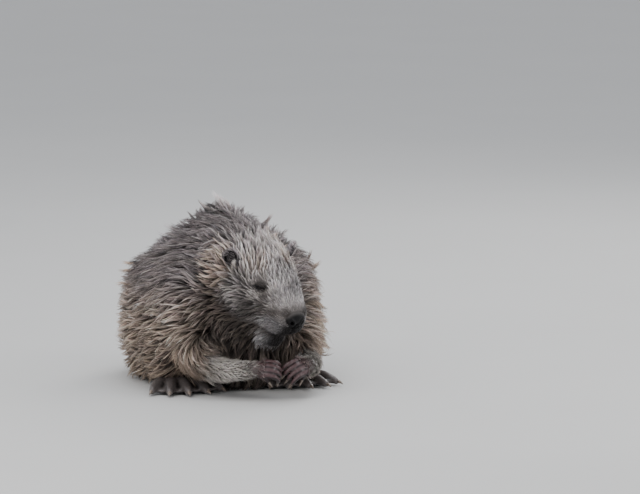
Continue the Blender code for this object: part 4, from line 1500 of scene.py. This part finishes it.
tuftSettings = {
    # root from the plan's origin, way it points, length, colour gain, golden share; the high gains at the top
    # of the head are partly painted light
    "tufts": [
        ((0.008, 0.012, 0.266), (-0.52, 0.28, 0.82), 0.040, 4.2, 0.0),
        ((0.013, 0.010, 0.265), (-0.46, 0.20, 0.84), 0.036, 3.4, 0.0),
        ((0.018, 0.008, 0.263), (-0.40, 0.10, 0.86), 0.031, 1.9, 0.0),
        ((0.064, 0.009, 0.234), (0.54, -0.05, 0.84), 0.036, 1.3, 0.1),
        ((0.127, -0.006, 0.180), (0.52, -0.10, 0.84), 0.030, 1.4, 0.1),
        ((0.129, -0.012, 0.172), (0.85, -0.20, 0.48), 0.032, 1.4, 0.2),
        ((-0.107, 0.082, 0.180), (-0.95, 0.25, 0.08), 0.037, 1.3, 0.6),
        ((-0.113, 0.083, 0.170), (-0.93, 0.30, -0.08), 0.035, 1.3, 0.6),
        ((-0.129, 0.053, 0.156), (-0.96, 0.20, -0.05), 0.034, 1.3, 0.4),
        ((-0.080, -0.146, 0.068), (-0.15, -0.45, -0.85), 0.027, 1.5, 0.1),
        ((-0.071, -0.155, 0.066), (-0.12, -0.45, -0.88), 0.026, 1.5, 0.0),
        ((-0.062, -0.165, 0.063), (-0.15, -0.45, -0.85), 0.024, 1.4, 0.0),
        ((-0.053, -0.175, 0.061), (-0.10, -0.45, -0.88), 0.021, 1.4, 0.0),
    ],
    "strands": 44,            # in one tuft, and twice as many in the palest
    "spread": 0.0036,
    "wander": 0.05,           # how much the strands' ways differ
    "lengths": (0.7, 1.05),
    "widths": (0.7, 1.2),
    "bend": (0.6, 0.5, 0.25),  # along the coat, along the tuft's way and out from the skin
    "gather": 0.93,
    "sink": 0.001,
    "width": 0.0011,
    "taper": [1.0, 1.0, 0.8, 0.5],
    "shades": (0.4, 1.35, 0.2, 1.0),
    "earTurns": [-125, -95, -65, -38, -12, 14],  # degrees round the ear's opening, from straight up
    "earReach": 0.016,
    "earWay": (-0.75, -0.35, 0.5),  # out from the opening's middle, back and up
    "earAhead": 0.002,
    "earTuft": (0.023, 1.8, 0.15),  # length, colour gain, golden share
}


def allTufts():
    # the raised locks and those that hang over the front of each ear
    outward, back, up = tuftSettings["earWay"]
    made = [(np.array(onPlan(*place)), np.array(way), *rest) for place, way, *rest in tuftSettings["tufts"]]
    for side, sign in sideSigns.items():
        centre, axes = earFrame(side)
        for degrees in tuftSettings["earTurns"]:
            turn = math.radians(degrees * sign + 180)
            out = axes @ np.array([math.sin(turn), 0, math.cos(turn)])
            way = unit(out * outward + axes[:, 1] * back + axes[:, 2] * up)
            root = centre + out * tuftSettings["earReach"] - axes[:, 1] * tuftSettings["earAhead"]
            made.append((root, way, *tuftSettings["earTuft"]))
    return made


def raisedTufts():
    # wet locks that stand clear of the coat
    made = {key: [] for key in ("spots", "up", "roots", "gain", "gold", "lock")}
    rings, tufts = len(tuftSettings["taper"]) + 1, allTufts()
    shares = np.linspace(0, 1, rings)
    t = shares[None, :, None]
    coatward, tuftward, outward = tuftSettings["bend"]
    for number, (middle, way, length, gain, gold) in enumerate(tufts):
        count = tuftSettings["strands"] * (2 if gain > 2 else 1)
        found, normals = field.nearest(middle + rng.normal(0, tuftSettings["spread"], (count, 3)))
        lie = flowWay(found, normals)
        way = unit(way + rng.normal(0, tuftSettings["wander"], (count, 3)))
        reach = length * rng.uniform(*tuftSettings["lengths"], count)[:, None, None]
        bend = unit(lie * coatward + way * tuftward + normals * outward)
        line = 2 * t * (1 - t) * bend[:, None] * 0.5 * reach + t * t * way[:, None] * reach
        offset = (found - found.mean(0))[:, None] * (1 - tuftSettings["gather"] * ease(t, 0.0, 0.85))
        heading = unit((1 - 2 * t) * bend[:, None] + 2 * t * way[:, None])
        flat = np.repeat(unit(np.cross(normals, lie))[:, None], rings, axis=1)
        sunk = normals[:, None] * tuftSettings["sink"] * (1 - t)
        made["spots"].append(found.mean(0) + offset + line - sunk)
        made["up"].append(unit(np.cross(heading, flat)))
        made["roots"].append(found)
        for key, value in (("gain", gain), ("gold", gold), ("lock", number)):
            made[key].append(np.full(count, value))
    made = {key: np.concatenate(values) for key, values in made.items()}
    made["width"] = tuftSettings["width"] * rng.uniform(*tuftSettings["widths"], len(made["roots"]))
    tree = kdOf(body["roots"])
    made["uv"] = np.array([body["uv"][tree.find(root)[1]] for root in made["roots"]])
    tones = strandTones(made, rng, len(tufts), shares, *tuftSettings["shades"])
    # golden tufts run from darker roots to lighter tips, partly painted shade and sheen
    gold = np.array(coatColours["golden"]) * np.linspace(0.5, 1.5, rings)[None, :, None]
    tones = mixed(tones, np.broadcast_to(gold, tones.shape), made["gold"][:, None, None])
    made["tones"] = np.clip(tones * made["gain"][:, None, None], 0, 0.95)
    made["taper"] = tuftSettings["taper"]
    return made


furPieces.append(strandMesh("coat_tufts", raisedTufts()))
earField = SkinField(ears=True)
furPieces.append(strandMesh("coat_ears", coatStrands(earField, rng, earWeights(earField), earStyle)))
print("coat", len(furPieces), "pieces,", sum(len(o.data.polygons) for o in furPieces), "triangles")


# materials
class Maths:
    # a socket with Python's operators, each one a Math node
    def __init__(self, paint, socket):
        self.paint, self.socket = paint, socket

    def made(self, operation, first, second):
        result = self.paint.node("ShaderNodeMath", {"operation": operation}, {0: first, 1: second})[0]
        return Maths(self.paint, result)

    def __add__(self, other):
        return self.made("ADD", self, other)

    def __radd__(self, other):
        return self.made("ADD", other, self)

    def __sub__(self, other):
        return self.made("SUBTRACT", self, other)

    def __rsub__(self, other):
        return self.made("SUBTRACT", other, self)

    def __mul__(self, other):
        return self.made("MULTIPLY", self, other)

    def __rmul__(self, other):
        return self.made("MULTIPLY", other, self)


def fed(tree, socket, value):
    # links a socket, or sets its value
    value = value.socket if isinstance(value, Maths) else value
    if isinstance(value, bpy.types.NodeSocket):
        tree.links.new(value, socket)
    else:
        socket.default_value = value


class Paint:
    # one finish: its nodes and the shader that they feed
    def __init__(self, name):
        self.material = bpy.data.materials.new(name)
        self.material.use_nodes = True
        self.tree = self.material.node_tree
        self.shader = self.tree.nodes["Principled BSDF"]

    def node(self, kind, settings=None, sockets=None):
        made = self.tree.nodes.new(kind)
        for key, value in (settings or {}).items():
            if key == "stops":
                for stop, (place, colour) in zip(made.color_ramp.elements, value):
                    stop.position, stop.color = place, colour
            else:
                setattr(made, key, value)
        for key, value in (sockets or {}).items():
            fed(self.tree, made.inputs[key], value)
        return made.outputs

    def number(self, socket):
        return Maths(self, socket)

    def place(self, scale=(1, 1, 1)):
        spot = self.node("ShaderNodeTexCoord")["Object"]
        return self.node("ShaderNodeMapping", {}, {"Vector": spot, "Scale": scale})["Vector"]

    def noise(self, scale, detail=3, vector=None, rough=0.5):
        return self.number(self.node("ShaderNodeTexNoise", {}, {
            "Vector": vector or self.place(), "Scale": scale, "Detail": detail, "Roughness": rough})["Fac"])

    def attribute(self, name, output="Color"):
        return self.node("ShaderNodeAttribute", {"attribute_name": name})[output]

    def toned(self, colour, amount):
        # a colour made lighter or darker by a number
        channels = dict.fromkeys(("Red", "Green", "Blue"), amount)
        grey = self.node("ShaderNodeCombineColor", {}, channels)["Color"]
        return self.node("ShaderNodeMix", {"data_type": "RGBA", "blend_type": "MULTIPLY"},
                         {0: 1.0, 6: colour, 7: grey})[2]

    def ramp(self, stops, factor):
        return self.node("ShaderNodeValToRGB", {"stops": stops}, {"Fac": factor})["Color"]

    def bump(self, height, distance, strength):
        sockets = {"Height": height, "Distance": distance, "Strength": strength}
        return self.node("ShaderNodeBump", {}, sockets)["Normal"]

    def finish(self, **values):
        for key, value in values.items():
            fed(self.tree, self.shader.inputs[key.replace("_", " ")], value)
        return self.material


# scales of the noises, tones and roughnesses as their least and how much the noise adds,
# and bumps as depth and strength
finishes = {
    "fur": {"grain": 900, "tone": (0.72, 0.56), "roughness": (0.34, 0.22), "specular": 0.5},
    "skin": {"hair": 700, "grain": 420, "creases": 520.0, "tone": (0.55, 0.9), "dry": 0.75, "wet": 0.37,
             "specular": 0.13, "bump": (0.0008, 0.7), "gloss": 0.55, "glossRoughness": 0.22},
    "eye": {"colour": (0.006, 0.004, 0.0035, 1), "grain": 200, "tone": (0.6, 0.8), "roughness": 0.09,
            "specular": 0.14},
    "claw": {"streaks": 300, "stops": [(0.3, (0.10, 0.075, 0.062, 1)), (0.7, (0.28, 0.23, 0.19, 1))],
             "roughness": 0.35, "bump": (0.0002, 0.5)},
    "scales": {"worn": 60, "stops": [(0.3, (0.026, 0.023, 0.022, 1)), (0.75, (0.085, 0.076, 0.070, 1))],
               "grain": 900, "roughness": (0.36, 0.25), "bump": (0.0002, 0.6)},
    "whisker": {"bands": 120, "stops": [(0.4, (0.05, 0.04, 0.04, 1)), (0.7, (0.34, 0.31, 0.29, 1))],
                "roughness": 0.35},
    "floor": {"colour": (0.62, 0.62, 0.61, 1), "grain": 3, "tone": (0.97, 0.06), "roughness": 0.7},
}


def varied(amounts, noise):
    least, added = amounts
    return least + noise * added


def coatMaterial(looks):
    paint = Paint("wet fur")
    fine = paint.noise(looks["grain"], 2)
    colour = paint.toned(paint.attribute("tone"), varied(looks["tone"], fine))
    return paint.finish(Base_Color=colour, Roughness=varied(looks["roughness"], fine),
                        Specular_IOR_Level=looks["specular"])


def skinMaterial(looks):
    paint = Paint("skin and underfur")
    bare = paint.number(paint.attribute("bare", "Fac"))
    hair = paint.noise(looks["hair"], 4, paint.place((1, 1, 0.5)), 0.65)
    grain = paint.noise(looks["grain"], 3)
    creases = paint.number(paint.node("ShaderNodeTexVoronoi", {"feature": "DISTANCE_TO_EDGE"}, {
        "Vector": paint.place(), "Scale": looks["creases"]})["Distance"])
    colour = paint.toned(paint.attribute("tone"), varied(looks["tone"], hair))
    height = hair * (1 - bare) + (grain * 0.4 + creases * 0.9) * bare
    wet = paint.number(paint.attribute("wet", "Fac"))
    return paint.finish(Base_Color=colour, Roughness=looks["dry"] - bare * looks["wet"],
                        Specular_IOR_Level=looks["specular"], Normal=paint.bump(height, *looks["bump"]),
                        Coat_Weight=wet * looks["gloss"], Coat_Roughness=looks["glossRoughness"])


def eyeMaterial(looks):
    paint = Paint("eye")
    colour = paint.toned(looks["colour"], varied(looks["tone"], paint.noise(looks["grain"], 2)))
    return paint.finish(Base_Color=colour, Roughness=looks["roughness"], Specular_IOR_Level=looks["specular"])


def clawMaterial(looks):
    paint = Paint("claw")
    streak = paint.noise(looks["streaks"])
    return paint.finish(Base_Color=paint.ramp(looks["stops"], streak), Roughness=looks["roughness"],
                        Normal=paint.bump(streak, *looks["bump"]))


def scaleMaterial(looks):
    paint = Paint("tail scales")
    colour = paint.ramp(looks["stops"], paint.noise(looks["worn"], 4))
    fine = paint.noise(looks["grain"], 2)
    return paint.finish(Base_Color=colour, Roughness=varied(looks["roughness"], fine),
                        Normal=paint.bump(fine, *looks["bump"]))


def whiskerMaterial(looks):
    paint = Paint("whisker")
    colour = paint.ramp(looks["stops"], paint.noise(looks["bands"], 2))
    return paint.finish(Base_Color=colour, Roughness=looks["roughness"])


def floorMaterial(looks):
    paint = Paint("studio floor")
    colour = paint.toned(looks["colour"], varied(looks["tone"], paint.noise(looks["grain"])))
    return paint.finish(Base_Color=colour, Roughness=looks["roughness"])


furFinish, skinFinish = coatMaterial(finishes["fur"]), skinMaterial(finishes["skin"])
eyeFinish, clawFinish = eyeMaterial(finishes["eye"]), clawMaterial(finishes["claw"])
scaleFinish, whiskerFinish = scaleMaterial(finishes["scales"]), whiskerMaterial(finishes["whisker"])
floorFinish = floorMaterial(finishes["floor"])
print("finishes", len(finishes))

# the tail's scales, laid on its blade by Geometry Nodes
scaleSettings = {"Spacing": 0.0042, "Length": 0.0056, "Width": 0.0046, "Height": 0.0009, "Seed": 4}
scaleShape = {
    "sides": 6,
    "radii": (0.34, 0.5),     # at the top and the bottom, as shares of its size
    "tilt": 7,                # degrees
    "sizes": (0.8, 1.12),
    "lowest": -0.25,          # faces that look further down stay smooth
    "facing": (0.05, 1.0, 0.0),
}


def treeBuilt(name, inputs):
    tree = bpy.data.node_groups.new(name, "GeometryNodeTree")
    tree.interface.new_socket("Geometry", in_out="INPUT", socket_type="NodeSocketGeometry")
    for key, value in inputs.items():
        kind = "NodeSocketInt" if isinstance(value, int) else "NodeSocketFloat"
        tree.interface.new_socket(key, in_out="INPUT", socket_type=kind)
    tree.interface.new_socket("Geometry", in_out="OUTPUT", socket_type="NodeSocketGeometry")

    def add(kind, settings=None, sockets=None):
        node = tree.nodes.new(kind)
        for key, value in (settings or {}).items():
            setattr(node, key, value)
        for key, value in (sockets or {}).items():
            fed(tree, node.inputs[key], value)
        return node.outputs

    return tree, add, add("NodeGroupInput")


def spreadOut(add, points, instance, rotation, scale):
    placed = add("GeometryNodeInstanceOnPoints", {}, {
        "Points": points, "Instance": instance, "Rotation": rotation, "Scale": scale})["Instances"]
    return add("GeometryNodeRealizeInstances", {}, {"Geometry": placed})["Geometry"]


def ended(add, geometry, finish):
    done = add("GeometryNodeSetMaterial", {}, {"Geometry": geometry, "Material": finish})["Geometry"]
    add("NodeGroupOutput", {}, {"Geometry": done})


def grown(name, surface, tree, inputs, finish):
    base = linked("base of " + name, surface)
    modifier = base.modifiers.new(name, "NODES")
    modifier.node_group = tree
    for item in tree.interface.items_tree:
        if item.in_out == "INPUT" and item.name in inputs:
            modifier[item.identifier] = inputs[item.name]
    mesh = bpy.data.meshes.new_from_object(base.evaluated_get(bpy.context.evaluated_depsgraph_get()))
    base.modifiers.clear()
    bpy.data.objects.remove(base)
    mesh.name = name
    if not mesh.materials:
        mesh.materials.append(finish)
    return linked(name, mesh)


def tailScaled():
    tree, add, given = treeBuilt("tailScales", scaleSettings)
    away = add("GeometryNodeInputNormal")["Normal"]
    rise = add("ShaderNodeSeparateXYZ", {}, {"Vector": away})["Z"]
    upward = add("FunctionNodeCompare", {"data_type": "FLOAT", "operation": "GREATER_THAN"}, {
        0: rise, 1: scaleShape["lowest"]})["Result"]
    points = add("GeometryNodeDistributePointsOnFaces", {"distribute_method": "POISSON"}, {
        "Mesh": given["Geometry"], "Selection": upward, "Distance Min": given["Spacing"],
        "Density Max": 120000.0, "Seed": given["Seed"]})
    laid = add("FunctionNodeAlignRotationToVector", {"axis": "Y", "pivot_axis": "Z"}, {
        "Rotation": points["Rotation"], "Vector": scaleShape["facing"]})["Rotation"]
    tilted = add("FunctionNodeRotateRotation", {"rotation_space": "LOCAL"}, {
        "Rotation": laid, "Rotate By": (math.radians(scaleShape["tilt"]), 0.0, 0.0)})["Rotation"]
    top, bottom = scaleShape["radii"]
    plate = add("GeometryNodeMeshCone", {"fill_type": "NGON"}, {
        "Vertices": scaleShape["sides"], "Side Segments": 1, "Fill Segments": 1, "Radius Top": top,
        "Radius Bottom": bottom, "Depth": 1.0})["Mesh"]
    size = add("ShaderNodeCombineXYZ", {}, {
        "X": given["Width"], "Y": given["Length"], "Z": given["Height"]})["Vector"]
    least, most = scaleShape["sizes"]
    vary = add("FunctionNodeRandomValue", {"data_type": "FLOAT"}, {
        2: least, 3: most, "Seed": given["Seed"]})[1]
    scaled = add("ShaderNodeVectorMath", {"operation": "SCALE"}, {0: size, "Scale": vary})["Vector"]
    ended(add, spreadOut(add, points["Points"], plate, tilted, scaled), scaleFinish)
    return grown("tail_scales", tailSurface, tree, scaleSettings, scaleFinish)


# whiskers, curved bristles from the sides of the lip
whiskerSettings = {"Length": 0.034, "Thickness": 0.00022, "Seed": 9}
whiskerRoots = {
    "rows": [-0.018, -0.024, -0.030, -0.036],
    "backs": [0.012, 0.018, 0.024],
    "way": (0.9, 0.30, -0.25),   # outwards, back and up
    "fan": (12, 0.10),           # how it turns back by its place, and down by its row
}


def whiskersGrown():
    # one point for each bristle, its way out in an attribute
    points, ways = [], []
    (out, back, up), (fanBack, fanDown) = whiskerRoots["way"], whiskerRoots["fan"]
    for sign in sideSigns.values():
        for row, height in enumerate(whiskerRoots["rows"]):
            for place in whiskerRoots["backs"]:
                start = onHead(sign * 0.05, place + 0.002 * row, height)
                hit, _, _, _ = field.tree.ray_cast(start, headAxes @ Vector((-sign, 0, 0)))
                way = Vector((sign * out, back + place * fanBack, up - row * fanDown)).normalized()
                if hit is not None:
                    points.append(hit)
                    ways.append(headAxes @ way)
    mesh = bpy.data.meshes.new("whisker roots")
    mesh.from_pydata([tuple(p) for p in points], [], [])
    layer = mesh.attributes.new("way", "FLOAT_VECTOR", "POINT")
    layer.data.foreach_set("vector", np.array(ways, np.float32).ravel())
    tree, add, given = treeBuilt("whiskers", whiskerSettings)
    line = add("GeometryNodeCurvePrimitiveBezierSegment", {"mode": "POSITION"}, {
        "Resolution": 10, "Start": (0, 0, 0), "Start Handle": (0, 0, 0.4), "End Handle": (0, -0.05, 0.75),
        "End": (0, -0.28, 1.0)})["Curve"]
    along = add("GeometryNodeSplineParameter")["Factor"]
    thin = add("ShaderNodeMapRange", {}, {"Value": along, "To Min": 1.0, "To Max": 0.15})["Result"]
    way = add("GeometryNodeInputNamedAttribute", {"data_type": "FLOAT_VECTOR"}, {"Name": "way"})["Attribute"]
    aimed = add("FunctionNodeAlignRotationToVector", {"axis": "Z"}, {"Vector": way})["Rotation"]
    level = add("FunctionNodeAlignRotationToVector", {"axis": "Y", "pivot_axis": "Z"}, {
        "Rotation": aimed, "Vector": (0.0, 0.0, 1.0)})["Rotation"]
    vary = add("FunctionNodeRandomValue", {"data_type": "FLOAT"}, {2: 0.6, 3: 1.1, "Seed": given["Seed"]})[1]
    reach = add("ShaderNodeMath", {"operation": "MULTIPLY"}, {0: given["Length"], 1: vary})["Value"]
    size = add("ShaderNodeCombineXYZ", {}, {"X": reach, "Y": reach, "Z": reach})["Vector"]
    lines = spreadOut(add, given["Geometry"], line, level, size)
    ring = add("GeometryNodeCurvePrimitiveCircle", {"mode": "RADIUS"}, {
        "Resolution": 5, "Radius": given["Thickness"]})["Curve"]
    sized = add("GeometryNodeSetCurveRadius", {}, {"Curve": lines, "Radius": thin})["Curve"]
    tubes = add("GeometryNodeCurveToMesh", {}, {
        "Curve": sized, "Profile Curve": ring, "Fill Caps": True})["Mesh"]
    ended(add, tubes, whiskerFinish)
    return grown("whiskers", mesh, tree, whiskerSettings, whiskerFinish)


tailScales = tailScaled()
whiskers = whiskersGrown()
print("tail scales", len(tailScales.data.polygons), "faces, whiskers", len(whiskers.data.polygons), "faces")


# eyes
def eyeBall(side):
    bm = bmesh.new()
    centre, gaze, front, _ = eyeFrame(side)
    axes = Matrix((front, np.cross(gaze, front), gaze)).transposed()
    ballInto(bm, Vector(centre), [eyeSettings["radius"]] * 3, axes, 40)
    mesh = meshFrom(outwards(bm), "eye")
    mesh.shade_smooth()
    return linked("eyeball_" + side, mesh)


for sideName in sideSigns:
    ball = eyeBall(sideName)
    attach(ball, "root")
    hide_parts("eye_" + sideName)
    ball.data.materials.append(eyeFinish)
print("eyes")

# floor, light and camera
lightSettings = {
    "key": ((-1.3, -1.5, 2.1), 26, 1.4, (1.0, 0.97, 0.93)),   # place, watts, width, colour
    "top": ((0.2, 0.2, 2.6), 30, 2.2, (0.93, 0.96, 1.0)),
    "rim": ((1.6, 1.4, 1.4), 14, 1.0, (1.0, 0.98, 0.95)),
    "side": ((1.9, -1.2, 1.0), 14, 1.2, (1.0, 0.98, 0.96)),
    "fill": ((-1.7, -0.9, 0.6), 7, 1.2, (1.0, 0.97, 0.94)),
}
studio = {"sky": (0.93, 0.95, 1.0, 1), "skyStrength": 0.75, "aim": (0, 0, 0.12), "floorSize": 30}


def litStage():
    world = bpy.data.worlds.new("studio")
    world.use_nodes = True
    background = world.node_tree.nodes["Background"]
    background.inputs["Color"].default_value = studio["sky"]
    background.inputs["Strength"].default_value = studio["skyStrength"]
    bpy.context.scene.world = world
    target = onPlan(*studio["aim"])
    for name, (spot, watts, width, colour) in lightSettings.items():
        data = bpy.data.lights.new(name, "AREA")
        data.energy, data.size, data.color = watts, width, colour
        lamp = linked(name, data)
        lamp.location = target + Vector(spot)
        lamp.rotation_mode = "QUATERNION"
        lamp.rotation_quaternion = (-Vector(spot)).to_track_quat("-Z", "Y")
    bm = bmesh.new()
    bmesh.ops.create_grid(bm, x_segments=8, y_segments=8, size=studio["floorSize"])
    floor = linked("floor", meshFrom(bm, "floor"))
    return floor


cameraSettings = {
    "azimuth": -18,      # degrees
    "elevation": 8,
    "distance": 9.0,
    "lens": 318.9,       # millimetres, as the sensor's width
    "sensor": 36,
    "right": 0.1524,     # the point it looks at, from the plan's origin
    "rise": 0.2111,
}


def cameraPlaced():
    a, e = math.radians(cameraSettings["azimuth"]), math.radians(cameraSettings["elevation"])
    back = Vector((math.sin(a) * math.cos(e), -math.cos(a) * math.cos(e), math.sin(e)))
    right = Vector((math.cos(a), math.sin(a), 0))
    aim = planOrigin + right * cameraSettings["right"] + back.cross(right) * cameraSettings["rise"]
    data = bpy.data.cameras.new("camera")
    data.lens, data.sensor_width, data.clip_end = cameraSettings["lens"], cameraSettings["sensor"], 100
    camera = linked("camera", data)
    camera.location = aim + back * cameraSettings["distance"]
    camera.rotation_mode = "QUATERNION"
    camera.rotation_quaternion = (-back).to_track_quat("-Z", "Y")
    bpy.context.scene.camera = camera


floorObject = litStage()
cameraPlaced()
print("floor,", len(lightSettings), "lights and camera")

# every piece gets its finish, its body and its slot
joinedSkin.data.materials.append(skinFinish)
joinedSkin.data.shade_smooth()
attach(joinedSkin, "root")
hiddenNodes = [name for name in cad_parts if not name.startswith(("eye", "claw"))]
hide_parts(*hiddenNodes)
for fur in furPieces:
    fur.data.materials.append(furFinish)
    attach(fur, "root")
floorObject.data.materials.append(floorFinish)
for kind in ("fore", "hind"):
    for sideName in sideSigns:
        claws, clawNodes = clawPiece(kind, sideName)
        claws.data.shade_smooth()
        claws.data.materials.append(clawFinish)
        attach(claws, "root")
        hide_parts(*clawNodes)
        print(kind, sideName, len(clawNodes), "claws")
for obj in (tailScales, whiskers):
    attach(obj, "root")
